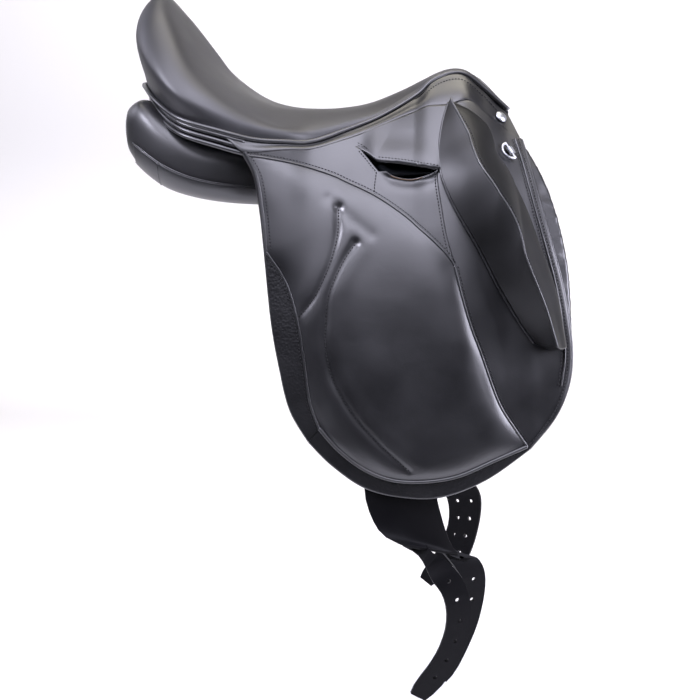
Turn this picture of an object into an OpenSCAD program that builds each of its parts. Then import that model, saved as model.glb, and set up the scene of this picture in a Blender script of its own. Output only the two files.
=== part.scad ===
// Dressage saddle with a single flap on each side.
// +X runs forward to the pommel, +Y to the saddle's left, +Z up.
// The origin is in the gullet channel, under the deepest point of the seat,
// level with the panels' bearing surface.

/* [Seat] */
// Deepest point of the seat to the top of the pommel, along X
seat_front = 155; // [145:1:165]
// Deepest point of the seat to the top of the cantle, along X
seat_rear = 223; // [210:1:235]
// Bearing surface of the panels to the deepest point of the seat
seat_depth = 100; // [96:1:108]
// Pommel above the deepest point of the seat
pommel_rise = 50; // [44:1:56]
// Cantle above the deepest point of the seat
cantle_rise = 147; // [130:1:160]
// Half of the seat's greatest width
seat_half = 169; // [160:1:178]
// Crown of the seat between its spine and its rim
seat_crown = 6; // [3:0.5:9]
// Thickness of the seat leather
cover_t = 2.5; // [1.5:0.5:3.5]
// Thickness of the seat foam
foam_t = 17; // [12:1:19]
// Thickness of the webs under the foam
web_t = 1.6; // [1:0.2:2]
// Thickness of the tree's shell
tree_t = 8; // [6:0.5:10]
// Radius of the welt round the seat
welt_r = 3; // [2:0.25:3.5]
// Half height of the cantle roll
roll_h = 9; // [7:0.5:10]
// Half thickness of the cantle roll
roll_w = 5.5; // [4:0.5:6]

/* [Flap] */
// Distance of the flap's lower edge from the middle of the saddle
flap_reach = 216; // [205:1:226]
// Height over which the flap turns from its slope at the seat to hanging straight
flap_fall = 150; // [130:5:170]
// Thickness of the flap leather
flap_t = 4; // [3:0.5:5]
// Thickness of the flap's lining
lining_t = 2.6; // [2:0.2:3.2]
// Thickness of the facing leathers
facing_t = 2; // [1.5:0.25:2.5]
// Crown of the calf panel above its seams
calf_crown = 7; // [3:0.5:10]
// Depth of the sewn darts in the calf panel
dart_depth = 3.5; // [2:0.5:4]
// Height of the thigh block at its ridge
block_h = 44; // [34:1:50]
// Thickness of the skirt leather
skirt_t = 3; // [2:0.5:3.5]

/* [Panel] */
// Half width of the gullet channel between the panels
channel_half = 34; // [30:1:38]
// Thickness of the gullet lining
channel_t = 3; // [2:0.5:4]
// Thickness of the panel gusset
gusset_t = 2; // [1.5:0.25:3]

/* [Straps] */
// Width of the girth strap under the flap
girth_w = 84; // [76:1:90]
// Width of a billet
billet_w = 30; // [26:1:34]
// Thickness of the girth strap and the billets
billet_t = 4.4; // [3.5:0.2:5]
// Diameter of the holes in the billets
hole_d = 5; // [4:0.25:6]
// Distance between the holes along a billet
hole_pitch = 25.4; // [22:0.2:27]
// Number of holes in a billet
hole_count = 6; // [4:1:6]

/* [Hardware] */
// Diameter of a saddle nail
nail_d = 15; // [12:0.5:16]
// Height of a saddle nail's dome
nail_h = 4; // [3:0.5:5]
// Half length of the ring's straight side, at the middle of its wire
ring_r = 10.5; // [9:0.5:12]
// Diameter of the ring's wire
ring_wire = 3.2; // [2.5:0.1:3.6]
// Length of the stirrup bar's blade
bar_len = 62; // [56:1:66]
// Height of the stirrup bar's blade
bar_h = 13; // [11:0.5:15]
// Thickness of the stirrup bar's blade and of its back plate
bar_t = 4.5; // [4:0.25:5]
// Clear space between the stirrup bar's blade and its back plate
bar_space = 9; // [8:0.5:10]
// Diameter of the catch's pin
pin_d = 3; // [2.5:0.25:3.5]
// Diameter of the bar's rivets
rivet_d = 5; // [4:0.5:6]
// Thickness of the steel gullet plate
plate_t = 5; // [4:0.5:6]

/* [Hidden] */
// Clearance between neighbouring layers of leather
gap = 0.8;
// Running clearance of a pin in its bore
pin_gap = 0.08;

leather = "#1c1d20";
smooth_leather = "#2a2c30";
grained_leather = "#232427";
foam_yellow = "#d8c58a";
web_white = "#d9d4c6";
tree_black = "#303030";
steel = "#8d9196";
bright = "#c9ccd0";

// Curve through points, with s from 0 at the first to 1 at the last
function unit(v) = v / norm(v);
function blend4(a, b, c, d, t) =
  0.5 * (2 * b + (c - a) * t + (2 * a - 5 * b + 4 * c - d) * t * t + (3 * b - a - 3 * c + d) * t * t * t);
function along(p, s) =
  let (n = len(p) - 1, q = min(max(s, 0), 1) * n, i = min(floor(q), n - 1))
  blend4(p[max(i - 1, 0)], p[i], p[i + 1], p[min(i + 2, n)], q - i);
function shift(p, d) = [for (q = p) q + d];
function smooth(t) = let (c = min(max(t, 0), 1)) c * c * (3 - 2 * c);

// Value of column k at x, on a smooth curve through rows in the order of x
function row_slope(p, i, k) =
  let (a = max(i - 1, 0), b = min(i + 1, len(p) - 1)) (p[b][k] - p[a][k]) / (p[b][0] - p[a][0]);
function row_at(p, x, i = 0) = i >= len(p) - 2 || x < p[i + 1][0] ? i : row_at(p, x, i + 1);
function level(p, x, k) =
  let (c = min(max(x, p[0][0]), p[len(p) - 1][0]), i = row_at(p, c), h = p[i + 1][0] - p[i][0],
       t = (c - p[i][0]) / h)
  (2 * t * t * t - 3 * t * t + 1) * p[i][k] + (t * t * t - 2 * t * t + t) * h * row_slope(p, i, k)
  + (3 * t * t - 2 * t * t * t) * p[i + 1][k] + (t * t * t - t * t) * h * row_slope(p, i + 1, k);

// Solid between an outer and an inner grid of points; a folded one closes on itself along its last row
function quad(a, b, c, d) = [[a, b, c], [a, c, d]];
module slab(outer, inner, folded = false) {
  rows = len(outer) - 1;
  cols = len(outer[0]) - 1;
  size = (rows + 1) * (cols + 1);
  function at(j, i) = j * (cols + 1) + (folded && j == rows && i > cols / 2 ? cols - i : i);
  faces = [for (j = [0 : rows - 1], i = [0 : cols - 1])
    each concat(quad(at(j, i), at(j + 1, i), at(j + 1, i + 1), at(j, i + 1)),
                quad(size + at(j, i), size + at(j, i + 1), size + at(j + 1, i + 1), size + at(j + 1, i)))];
  ends = [for (i = [0 : cols - 1])
    each concat(quad(at(0, i), at(0, i + 1), size + at(0, i + 1), size + at(0, i)),
                folded ? [] : quad(at(rows, i + 1), at(rows, i), size + at(rows, i), size + at(rows, i + 1)))];
  sides = [for (j = [0 : rows - 1])
    each concat(quad(at(j + 1, 0), at(j, 0), size + at(j, 0), size + at(j + 1, 0)),
                quad(at(j, cols), at(j + 1, cols), size + at(j + 1, cols), size + at(j, cols)))];
  polyhedron(concat([for (r = outer) each r], [for (r = inner) each r]), concat(faces, ends, sides));
}

// Solid through closed rings of points, each turning left about the way from ring to ring
module loft(rings) {
  n = len(rings) - 1;
  m = len(rings[0]);
  walls = [for (k = [0 : n - 1], i = [0 : m - 1])
    each quad(k * m + i, (k + 1) * m + i, (k + 1) * m + (i + 1) % m, k * m + (i + 1) % m)];
  caps = [for (i = [1 : m - 2]) each [[0, i, i + 1], [n * m, n * m + i + 1, n * m + i]]];
  polyhedron([for (r = rings) each r], concat(walls, caps));
}

// Tube along points, rw wide and rh high, with its sides set out level
module tube(path, rw, rh, sides) {
  n = len(path) - 1;
  loft([for (k = [0 : n])
    let (t = unit(path[min(k + 1, n)] - path[max(k - 1, 0)]), a = unit(cross([0, 0, 1], t)), b = cross(t, a))
    [for (i = [0 : sides - 1]) path[k] + rw * cos(360 * i / sides) * a + rh * sin(360 * i / sides) * b]]);
}

module on_side(side) {
  if (side > 0) children();
  else mirror([0, 1, 0]) children();
}

// Places children with x along a, y along b and z along a cross b
module framed(p, a, b) {
  c = cross(a, b);
  rows = [for (k = [0 : 2]) [a[k], b[k], c[k], p[k]]];
  multmatrix(concat(rows, [[0, 0, 0, 1]])) children();
}

// The seat's form on its left half, from the front end back to the cantle.
// Each point is [share of the seat's length, share of its half width, share of the rise at that end].
seat_spine = [[1.38, 0, 0.1], [1.17, 0, 0.76], [1, 0, 1], [0.85, 0, 0.96],
              [0.68, 0, 0.7], [0.5, 0, 0.42], [0.27, 0, 0.12], [0.05, 0, 0],
              [-0.12, 0, 0.01], [-0.26, 0, 0.04], [-0.4, 0, 0.1], [-0.5, 0, 0.2],
              [-0.58, 0, 0.32], [-0.64, 0, 0.44], [-0.67, 0, 0.5], [-0.68, 0, 0.52]];
seat_rim = [[1.38, 0.12, 0.09], [1.17, 0.14, 0.72], [1.02, 0.16, 1], [0.88, 0.18, 0.98],
            [0.71, 0.21, 0.74], [0.57, 0.26, 0.5], [0.32, 0.33, 0.14], [0.08, 0.43, -0.06],
            [-0.13, 0.56, -0.07], [-0.28, 0.7, -0.08], [-0.41, 0.8, 0], [-0.56, 0.86, 0.13],
            [-0.71, 0.83, 0.31], [-0.83, 0.65, 0.57], [-0.93, 0.37, 0.83], [-0.965, 0, 0.97]];
seat_side = [[1.38, 0.2, 0.07], [1.185, 0.21, 0.66], [1.04, 0.22, 0.98], [0.91, 0.26, 0.96],
             [0.76, 0.33, 0.76], [0.64, 0.37, 0.48], [0.39, 0.47, 0.02], [0.13, 0.57, -0.24],
             [-0.08, 0.7, -0.15], [-0.21, 0.82, -0.15], [-0.38, 0.93, -0.1], [-0.56, 1, 0.01],
             [-0.77, 0.98, 0.16], [-0.925, 0.8, 0.37], [-1.045, 0.46, 0.6], [-1.085, 0, 0.75]];
seat_edge = [[1.385, 0.235, 0.05], [1.19, 0.24, 0.58], [1.045, 0.255, 0.9], [0.92, 0.29, 0.92],
             [0.78, 0.355, 0.74], [0.66, 0.41, 0.4], [0.39, 0.51, -0.1], [0.135, 0.61, -0.42],
             [-0.075, 0.73, -0.23], [-0.205, 0.83, -0.23], [-0.37, 0.93, -0.21], [-0.54, 1, -0.14],
             [-0.745, 0.94, -0.05], [-0.89, 0.72, 0.075], [-0.99, 0.4, 0.185], [-1.05, 0, 0.23]];
function seat_place(s) = [s[0] * (s[0] > 0 ? seat_front : seat_rear), s[1] * seat_half,
                          seat_depth + s[2] * (s[0] > 0 ? pommel_rise : cantle_rise)];
spine_points = [for (s = seat_spine) seat_place(s)];
rim_points = [for (s = seat_rim) seat_place(s)];
side_points = [for (s = seat_side) seat_place(s)];
edge_points = [for (s = seat_edge) seat_place(s)];

// Way out of the seat, level, at u from 0 at the front to 1 at the back
function seat_out(u) = let (d = along(edge_points, u) - along(spine_points, u)) unit([d[0], d[1], 0]);
// Point of the seat at u along it and v from the spine to the edge, at a depth under the leather's face
function seat_at(u, v, depth, side = 1) =
  let (c = along(spine_points, u), r = along(rim_points, u), o = seat_out(u), w = smooth((u - 0.42) / 0.25),
       crown = (c + r) / 2 + [0, 0, seat_crown * smooth((u - 0.25) / 0.3)],
       p = along([c, crown, r, along(side_points, u), along(edge_points, u)], v),
       d = along([[0, 0, -1], [0, 0, -1], unit([0, 0, -1] - 0.45 * w * o), unit([0, 0, 0.5 * w - 1] - w * o),
                  unit([0, 0, 0.9 * w - 1] - w * o)], v),
       q = p + depth * unit(d))
  [q[0], side * q[1], q[2]];
seat_rows = 18;
seat_cols = 7;
function seat_grid(depth) =
  [for (j = [0 : seat_rows]) [for (i = [-seat_cols : seat_cols])
    seat_at(j / seat_rows, abs(i) / seat_cols, depth, i < 0 ? -1 : 1)]];
// Strip of a layer under the seat, between two places along it and two across it
function strip_grid(u0, u1, v0, v1, rows, cols, depth) =
  [for (j = [0 : rows]) [for (i = [0 : cols])
    let (v = v0 + (v1 - v0) * i / cols) seat_at(u0 + (u1 - u0) * j / rows, abs(v), depth, v < 0 ? -1 : 1)]];
module strip(u0, u1, v0, v1, rows, cols, top, bottom) {
  slab(strip_grid(u0, u1, v0, v1, rows, cols, top), strip_grid(u0, u1, v0, v1, rows, cols, bottom));
}

foam_top = cover_t + gap;
foam_bottom = foam_top + foam_t;
girth_web_top = foam_bottom + 2 * gap;
web_top = girth_web_top + web_t + 1.5 * gap;
tree_top = web_top + web_t + gap + 0.2;
tree_bottom = tree_top + tree_t;

// The flap hangs from the seat's edge; its face is a height over the middle plane at each x and z
edge_rows = concat([for (i = [13 : -1 : 0]) edge_points[i]], [edge_points[0] + [90, -6, -40]]);
flap_drop = 420;
function edge_y(x) = level(edge_rows, x, 1);
function edge_z(x) = level(edge_rows, x, 2);
function flap_y(x, z) =
  let (low = flap_reach - 0.0006 * (x - 60) * (x - 60))
  edge_y(x) + (low - edge_y(x)) * (1 - exp((z - edge_z(x)) / flap_fall)) / (1 - exp(-flap_drop / flap_fall));
function flap_normal(x, z) =
  unit([flap_y(x - 2, z) - flap_y(x + 2, z), 4, flap_y(x, z - 2) - flap_y(x, z + 2)]);
function flap_at(p, height) = [p[0], flap_y(p[0], p[1]), p[1]] + height * flap_normal(p[0], p[1]);

// Outline of the flap and its seams, as [x, z]
flap_rear = -94;
flap_front = 228;
// Width of the skirt below the seat's edge, by x
skirt_rows = [[flap_rear, 20], [-55, 14], [-15, 13], [25, 16], [65, 18], [100, 25], [140, 42],
              [168, 34], [190, 34], [205, 31], [flap_front, 32]];
function flap_top(x) = edge_z(x) - level(skirt_rows, x, 1);
function top_line(x0, x1, lower, n = 20) =
  [for (i = [0 : n]) let (x = x0 + (x1 - x0) * i / n) [x, flap_top(x) - lower]];
hem_rear = [-13, -277];
hem_front = [239, -285];
rear_line = [[flap_rear, flap_top(flap_rear)], [-80, 25], [-72, -14], [-66, -60], [-57, -138], [-48, -188],
             [-35, -240], hem_rear];
hem_line = [hem_rear, [14, -303], [52, -328], [95, -338], [140, -337], [190, -318], hem_front];
front_line = [[flap_front, flap_top(flap_front)], [238, 33], [250, -10], [263, -55], [275, -98],
              [283, -140], [287, -180], [283, -215], [268, -250], hem_front];
lining_line = [[flap_front + 3, flap_top(flap_front)], [247, 38], [264, 2], [277, -42], [285, -85],
               [288, -130], [289, -178], [285, -213], [269, -249], hem_front];
calf_rear = -92;
seam_corner = [151, -76];
diagonal_seam = [[calf_rear, flap_top(calf_rear) - 3], [-67, 44], [-37, 37], [5, 24], [24, 16], [64, -2],
                 [104, -28], [140, -61], seam_corner];
hem_seam_front = [236, -282];
front_seam = [seam_corner, [160, -112], [170, -145], [182, -176], [202, -230], [222, -262], hem_seam_front];
strip_tip = [-64.5, -61];
strip_foot = [-1, -261];
strip_line = [strip_tip, [-47, -86], [-36, -110], [-26, -146], [-19, -186], [-12, -231], strip_foot];
calf_rear_line = concat([diagonal_seam[0], [-79, 20], [-71, -16]], strip_line);
hem_seam = [strip_foot, [21, -285], [51, -307], [84, -319], [121, -320], [157, -314], [196, -298],
            hem_seam_front];
// Lines of the two sewn darts
dart_front = [[38, -54], [26, -71], [16, -91], [8, -114], [6, -142], [6, -167], [14, -202], [36, -241],
              [66, -275], [103, -308]];
dart_rear = [[17, -15], [17, -43], [12, -67], [4, -89], [-9, -114], [-27, -135]];

// Grid of points between four edges that meet at their ends
function patch(top, bottom, rear, front, rows, cols) =
  let (a = top[0], b = top[len(top) - 1], c = bottom[0], d = bottom[len(bottom) - 1])
  [for (j = [0 : rows]) [for (i = [0 : cols])
    let (u = i / cols, v = j / rows)
    (1 - v) * along(top, u) + v * along(bottom, u) + (1 - u) * along(rear, v) + u * along(front, v)
    - (1 - u) * (1 - v) * a - u * (1 - v) * b - (1 - u) * v * c - u * v * d]];
function lay(grid, height) = [for (r = grid) [for (p = r) flap_at(p, height)]];
module sheet(grid, low, high) {
  slab(lay(grid, high), lay(grid, low));
}

facing_low = flap_t + gap;
facing_high = facing_low + facing_t;
block_low = facing_high + gap;
seam_gap = 0.8;

module seat_cover() {
  color(smooth_leather) slab(seat_grid(0), seat_grid(cover_t), true);
}

module seat_foam() {
  color(foam_yellow) slab(seat_grid(foam_top), seat_grid(foam_bottom), true);
}

// Points beside the seat's edge, from the left front round the cantle to the right front
function beside_edge(u0, out, up, n) =
  [for (i = [-n : n])
    let (u = 1 - (1 - u0) * abs(i) / n, q = along(edge_points, u) + out * seat_out(u) + [0, 0, up])
    [q[0], (i < 0 ? 1 : -1) * q[1], q[2]]];

module seat_welt() {
  color(leather) tube(beside_edge(0, welt_r + gap / 2, -welt_r / 2, seat_rows), welt_r, welt_r, 6);
}

// The roll behind the cantle lies under the seat's edge
roll_start = 2 / 3;
module cantle_roll() {
  path = beside_edge(roll_start, -roll_w - gap / 2, -2 * gap - roll_h, seat_rows * 2 / 3);
  color(leather) tube(path, roll_w, roll_h, 8);
}

// Rear and front ends of the skirt, and its height at the rear end
skirt_tail = -150;
skirt_nose = 213;
skirt_tail_h = 3;
// Height of the seat's edge over the skirt: more where the edge is steep
function skirt_clear(x) = (welt_r * 1.5 + 1) * (1 + pow((edge_z(x + 1) - edge_z(x - 1)) / 2, 2));
module skirt(side) {
  steps = 24;
  xs = [for (i = [0 : steps]) skirt_tail + (skirt_nose - skirt_tail) * i / steps];
  upper = [for (x = xs) [x, edge_z(x) - skirt_clear(x)]];
  lower = concat([upper[0] - [0, skirt_tail_h]],
                 [for (i = [1 : steps]) [xs[i], flap_top(xs[i]) + 2 * seam_gap]]);
  grid = patch(upper, lower, [upper[0], lower[0]], [upper[steps], lower[steps]], 3, steps);
  color(leather) on_side(side) sheet(grid, 0, skirt_t);
}

module straining_webs() {
  color(web_white) for (side = [-1, 1])
    strip(0.16, 0.86, side > 0 ? 0.1 : -0.34, side > 0 ? 0.34 : -0.1, 14, 2, web_top, web_top + web_t);
}

// The girth web runs across the tree and laps the inner faces of the girth straps' tops
web_rows = 4;
web_cols = 9;
function web_lap(t, depth, side) =
  let (r = strap_row(strap_top - 5), p = r[1] + (r[0] - r[1]) * t,
       q = p - (billet_t / 2 + gap / 2 + depth) * flap_normal(p[0], p[2]))
  [q[0], side * q[1], q[2]];
function web_grid(depth) =
  [for (j = [0 : web_rows]) [for (i = [-web_cols - 1 : web_cols + 1])
    let (side = i < 0 ? -1 : 1)
    abs(i) > web_cols ? web_lap(j / web_rows, depth, side)
                      : seat_at(0.4 + 0.12 * j / web_rows, abs(i) / web_cols, girth_web_top + depth, side)]];
module girth_web() {
  color(web_white) slab(web_grid(0), web_grid(web_t));
}

// The tree: its head ends where the rails start, its cantle plate starts where they end
head_end = 0.26;
rail_end = 0.698;
tree_joint = 0.002;
rail_inner = 0.28;
module tree_head() {
  color(tree_black) strip(0.02, head_end, -0.8, 0.8, 10, 8, tree_top, tree_bottom);
}

module tree_rail(side) {
  color(tree_black) on_side(side)
    strip(head_end + tree_joint, rail_end, rail_inner, 0.66, 14, 3, tree_top, tree_bottom);
}

module tree_cantle() {
  start = rail_end + tree_joint;
  rows = 7;
  cols = 4;
  function cantle_grid(depth) = [for (j = [0 : rows]) [for (i = [-cols : cols])
    seat_at(start + (1 - start) * j / rows, rail_inner + 0.4 * abs(i) / cols, depth, i < 0 ? -1 : 1)]];
  color(tree_black) slab(cantle_grid(tree_top), cantle_grid(tree_bottom), true);
}

// Stirrup bar: its frame sits on the tree's wing, with y along the blade and z out of the wing
bar_place = [92, 37];
// Room between the blade and the flap's lining, for the stirrup leather's fold
bar_room = 3.5;
bar_blade_low = -bar_t - lining_t - gap - bar_room;
// Rise of the wing's curved face over the length of the bar's flat plate
wing_curve = 1.4;
wing_high = bar_blade_low - bar_space - bar_t - gap - wing_curve;
wing_t = tree_t;
bar_out = flap_normal(bar_place[0], bar_place[1]);
bar_way = unit(cross(cross(bar_out, [1, 0, 0]), bar_out));
bar_seat = flap_at(bar_place, wing_high + gap + wing_curve);
bar_plate_len = bar_len + 18;
bar_plate_h = bar_h + 10;
rivet_inset = 5;
rivet_places = [rivet_inset - bar_plate_len / 2, bar_plate_len / 2 - rivet_inset];
// Lug at the blade's rear end, which carries the catch on half of the blade's thickness
lug_len = 11;
lug_t = bar_t / 2 - 0.15;
// Block that joins the blade to the plate
bar_root = 8;
module at_bar(side) {
  on_side(side) framed(bar_seat, bar_way, cross(bar_out, bar_way)) children();
}

module tree_wing(side) {
  top = [for (q = [[40, 12], [85, 12], [130, 12], [180, 16]]) [q[0], flap_top(q[0]) - q[1]]];
  foot = [[48, 16], [90, 10], [140, 4], [184, 8]];
  color(tree_black) difference() {
    on_side(side)
      sheet(patch(top, foot, [top[0], foot[0]], [top[3], foot[3]], 4, 6), wing_high - wing_t, wing_high);
    at_bar(side) for (x = rivet_places) translate([x, 0, -wing_t * 3])
      cylinder(d = rivet_d + 2 * pin_gap, h = wing_t * 5, $fn = 32);
  }
}

module stirrup_bar(side) {
  color(steel) at_bar(side) difference() {
    union() {
      translate([-bar_plate_len / 2, -bar_plate_h / 2, 0]) cube([bar_plate_len, bar_plate_h, bar_t]);
      translate([bar_len / 2 - bar_root, -bar_h / 2, bar_t - 0.01]) cube([bar_root, bar_h, bar_space + 0.02]);
      translate([-bar_len / 2, -bar_h / 2, bar_t + bar_space]) cube([bar_len, bar_h, bar_t]);
      translate([-bar_len / 2 - lug_len, -bar_h / 2, bar_t + bar_space]) cube([lug_len + 1, bar_h, lug_t]);
    }
    for (x = rivet_places) translate([x, 0, -1])
      cylinder(d = rivet_d + 2 * pin_gap, h = bar_t + 2, $fn = 32);
    catch_axis() cylinder(d = pin_d + 2 * pin_gap, h = 2 * bar_t, $fn = 32);
  }
}

module catch_axis() {
  translate([-bar_len / 2 - lug_len / 2, 0, bar_t + bar_space - 0.5 * bar_t]) children();
}

rivet_head = 1.6;
module bar_rivets(side) {
  color(steel) at_bar(side) for (x = rivet_places) translate([x, 0, -wing_t * 0.8]) {
    cylinder(d = rivet_d, h = wing_t * 0.8 + bar_t + gap / 2, $fn = 32);
    translate([0, 0, wing_t * 0.8 + bar_t + gap / 2]) cylinder(d = rivet_d * 1.4, h = rivet_head, $fn = 32);
  }
}

module catch_pin(side) {
  color(steel) at_bar(side) translate([-bar_len / 2 - lug_len / 2, 0, bar_t + bar_space])
    cylinder(d = pin_d, h = bar_t, $fn = 32);
}

catch_gap = 0.3;
catch_r = lug_len / 2 - gap;
catch_len = lug_len / 2 + 5;
module bar_catch(side) {
  color(steel) at_bar(side) difference() {
    catch_axis() translate([0, 0, 0.5 * bar_t + lug_t + catch_gap]) {
      cylinder(r = catch_r, h = bar_t - lug_t - catch_gap, $fn = 48);
      translate([-catch_len, -catch_r, 0]) cube([catch_len, 2 * catch_r, bar_t - lug_t - catch_gap]);
    }
    catch_axis() cylinder(d = pin_d + 2 * pin_gap, h = 3 * bar_t, $fn = 32);
  }
}

// Steel arch under the tree's head, from foot to foot between the wings
plate_x = 150;
plate_w = 22;
module gullet_plate() {
  top = level([for (i = [15 : -1 : 0]) spine_points[i]], plate_x + plate_w, 2) - tree_bottom - gap;
  foot_y = flap_y(plate_x, 8) + (wing_high - wing_t) * 1.35 - 6;
  half = [[foot_y, 6], [foot_y - 12, 36], [foot_y * 0.63, 66], [foot_y * 0.35, top - 16], [0, top]];
  outer = [for (i = [0 : 12]) along(half, i / 12)];
  inner = [for (i = [12 : -1 : 0])
    along(half, i / 12) - plate_t * unit([0.8 - 0.8 * i / 12, 0.2 + 0.8 * i / 12])];
  color(steel) translate([plate_x, 0, 0]) rotate([90, 0, 90]) linear_extrude(plate_w)
    for (side = [0, 1]) mirror([side, 0]) polygon(concat(outer, inner));
}

// Saddle nails stand on the skirt
nail_x = 203;
nail_place = [nail_x, flap_top(nail_x) + nail_d / 2 + 2.5];
nail_out = flap_normal(nail_place[0], nail_place[1]);
nail_way = unit(cross(cross(nail_out, [1, 0, 0]), nail_out));
module saddle_nails() {
  color(bright) for (side = [-1, 1]) on_side(side)
    framed(flap_at(nail_place, skirt_t + gap), nail_way, cross(nail_out, nail_way)) rotate_extrude($fn = 48)
    polygon(concat([[0, 0]], [for (a = [0 : 10 : 90]) [nail_d / 2 * cos(a), nail_h * (0.2 + 0.8 * sin(a))]]));
}

// Panels: flocked bolsters. Each row gives x, the inner side from the channel's side, the outer side,
// the bottom from the bearing surface and the top from the tree's underside at the deepest point.
under_tree = seat_depth - tree_bottom;
panel_shape = [[-243, 40, 104, 68, 27.3], [-238, 24, 120, 51, 36.3], [-220, 8, 140, 30, 33.3],
               [-190, 1, 155, 10, 18.3], [-155, 0, 160, -1, 4.3], [-112, 0, 150, -8, -2.7],
               [-60, 0, 124, -11, -9.8], [0, 0, 100, -11, -11.3], [70, 2, 80, -9, -18.7],
               [130, 6, 74, -6, -24.7], [180, 10, 70, 0, -28.7], [192, 18, 62, 10, -36.7]];
panel_rows = [for (r = panel_shape) [r[0], channel_half + r[1], r[2], r[3], under_tree + r[4]]];
panel_sides = 16;
function panel_ring(x, out, a0, a1, n) =
  let (y0 = level(panel_rows, x, 1), y1 = level(panel_rows, x, 2),
       z0 = level(panel_rows, x, 3), z1 = level(panel_rows, x, 4))
  [for (i = [0 : n]) let (a = a0 + (a1 - a0) * i / n, c = cos(a), s = sin(a))
    [x, (y0 + y1) / 2 + sign(c) * pow(abs(c), 0.7) * ((y1 - y0) / 2 + out),
        (z0 + z1) / 2 + sign(s) * pow(abs(s), 0.75) * ((z1 - z0) / 2 + out)]];
panel_steps = [-243, -240.5, -235, -226, -214, -198, -178, -155, -130, -100, -60, -20, 25, 70, 110, 150,
               178, 188, 192];
module panel(side) {
  color(leather) on_side(side)
    loft([for (x = panel_steps) panel_ring(x, 0, 0, 360 - 360 / panel_sides, panel_sides - 1)]);
}

// The gusset lies on the panel's lower rear, between two angles round the panel
gusset_rows = [-228, -214, -198, -178, -155, -130, -100, -70];
gusset_from = -12;
gusset_to = -62;
module panel_gusset(side) {
  n = 5;
  function gusset_grid(out) =
    [for (i = [0 : n]) [for (x = gusset_rows) panel_ring(x, out, gusset_from, gusset_to, n)[i]]];
  color(leather) on_side(side) slab(gusset_grid(gap + gusset_t), gusset_grid(gap));
}

// The lining arches over the channel between the panels
channel_arch = 12;
module gullet_lining() {
  function lining_row(x, t) =
    let (h = (level(panel_rows, x, 3) + level(panel_rows, x, 4)) / 2, w = level(panel_rows, x, 1) - gap)
    [for (i = [-4 : 4]) [x, w * i / 4, h + channel_arch * (1 - i * i / 16) + t]];
  xs = [178, 150, 110, 70, 25, -20, -60, -100, -130, -155, -178, -198, -214];
  color(leather) slab([for (x = xs) lining_row(x, channel_t)], [for (x = xs) lining_row(x, 0)]);
}

// The slot over the stirrup bar
slot_line = [[58, 41], [95, 40], [131, 34], [126, 28], [112, 22], [98, 20], [82, 23], [66, 32]];
module slot_cut(side) {
  on_side(side) translate([0, 260, 0]) rotate([90, 0, 0]) linear_extrude(200) polygon(slot_line);
}

flap_rows = 13;
flap_grid = patch(top_line(flap_rear, flap_front, 0), hem_line, rear_line, front_line, flap_rows, 18);
module flap(side) {
  color(leather) difference() {
    on_side(side) sheet(flap_grid, 0, flap_t);
    slot_cut(side);
  }
}

// The lining follows the flap and stands out a little in front of it
module flap_lining(side) {
  grid = [for (j = [0 : flap_rows]) concat(flap_grid[j], [along(lining_line, j / flap_rows) + [0.5, -0.3]])];
  color(leather) difference() {
    on_side(side) sheet(grid, -gap - lining_t, -gap);
    slot_cut(side);
  }
}

// Where the upper facing ends and the front facing starts
facing_split = 150;
facing_split_zs = [60, 10, -40];
module upper_facing(side) {
  top = top_line(calf_rear, facing_split, 0.5);
  bottom = shift(diagonal_seam, [0, seam_gap]);
  front = concat([top[20]], [for (z = facing_split_zs) [facing_split, z]], [bottom[8]]);
  color(smooth_leather) difference() {
    on_side(side) sheet(patch(top, bottom, [top[0], bottom[0]], front, 7, 16), facing_low, facing_high);
    slot_cut(side);
  }
}

// Nearness to a line of points: 1 on it, 0 at the reach and beyond
function near(p, line, reach) =
  let (d = min([for (i = [0 : 24]) norm(p - along(line, i / 24))])) pow(max(0, 1 - d / reach), 2);
dart_reach = 16;
module calf_panel(side) {
  rows = 16;
  cols = 12;
  grid = patch(shift(diagonal_seam, [0, -seam_gap]), shift(hem_seam, [0, seam_gap]),
               shift(calf_rear_line, [seam_gap, 0]), shift(front_seam, [-seam_gap, 0]), rows, cols);
  function swell(j, i) = pow(sin(180 * i / cols), 0.6) * pow(max(0, sin(180 * j / rows)), 0.6);
  function dart(p) = max(near(p, dart_front, dart_reach), near(p, dart_rear, dart_reach));
  face = [for (j = [0 : rows]) [for (i = [0 : cols]) let (p = grid[j][i])
    flap_at(p, facing_high + (calf_crown - dart_depth * dart(p)) * swell(j, i))]];
  color(smooth_leather) on_side(side) slab(face, lay(grid, facing_low + gap / 2));
}

module grip_strip(side) {
  rear = [strip_tip - [1, 1], [-57, -138], [-48, -188], [-35, -240], hem_rear];
  grid = patch([rear[0], strip_tip + [-0.6, -0.6]], [hem_rear, strip_foot + [-seam_gap, 0]], rear,
               shift(strip_line, [-seam_gap, -seam_gap]), 10, 2);
  color(grained_leather) on_side(side) sheet(grid, facing_low, facing_high);
}

module hem_strip(side) {
  bottom = shift(hem_line, [seam_gap, 0.2]);
  tip = bottom[6] + [-1, 1];
  top = concat(shift(hem_seam, [0.6, -seam_gap]), [tip]);
  grid = patch(top, bottom, [top[0], bottom[0]], [tip, bottom[6]], 2, 14);
  color(grained_leather) on_side(side) sheet(grid, facing_low, facing_high);
}

module front_facing(side) {
  top = top_line(facing_split + 1, flap_front - 0.5, 0.5);
  rear = concat([top[0]], [for (z = facing_split_zs) [facing_split + 1, z]],
                shift(front_seam, [seam_gap, 0]));
  front = concat([top[20]], [for (i = [1 : 8]) front_line[i] + [-0.5, 0]], [hem_front + [-0.5, 3]]);
  color(leather) on_side(side)
    sheet(patch(top, [rear[len(rear) - 1], front[9]], rear, front, 14, 8), facing_low, facing_high);
}

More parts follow.
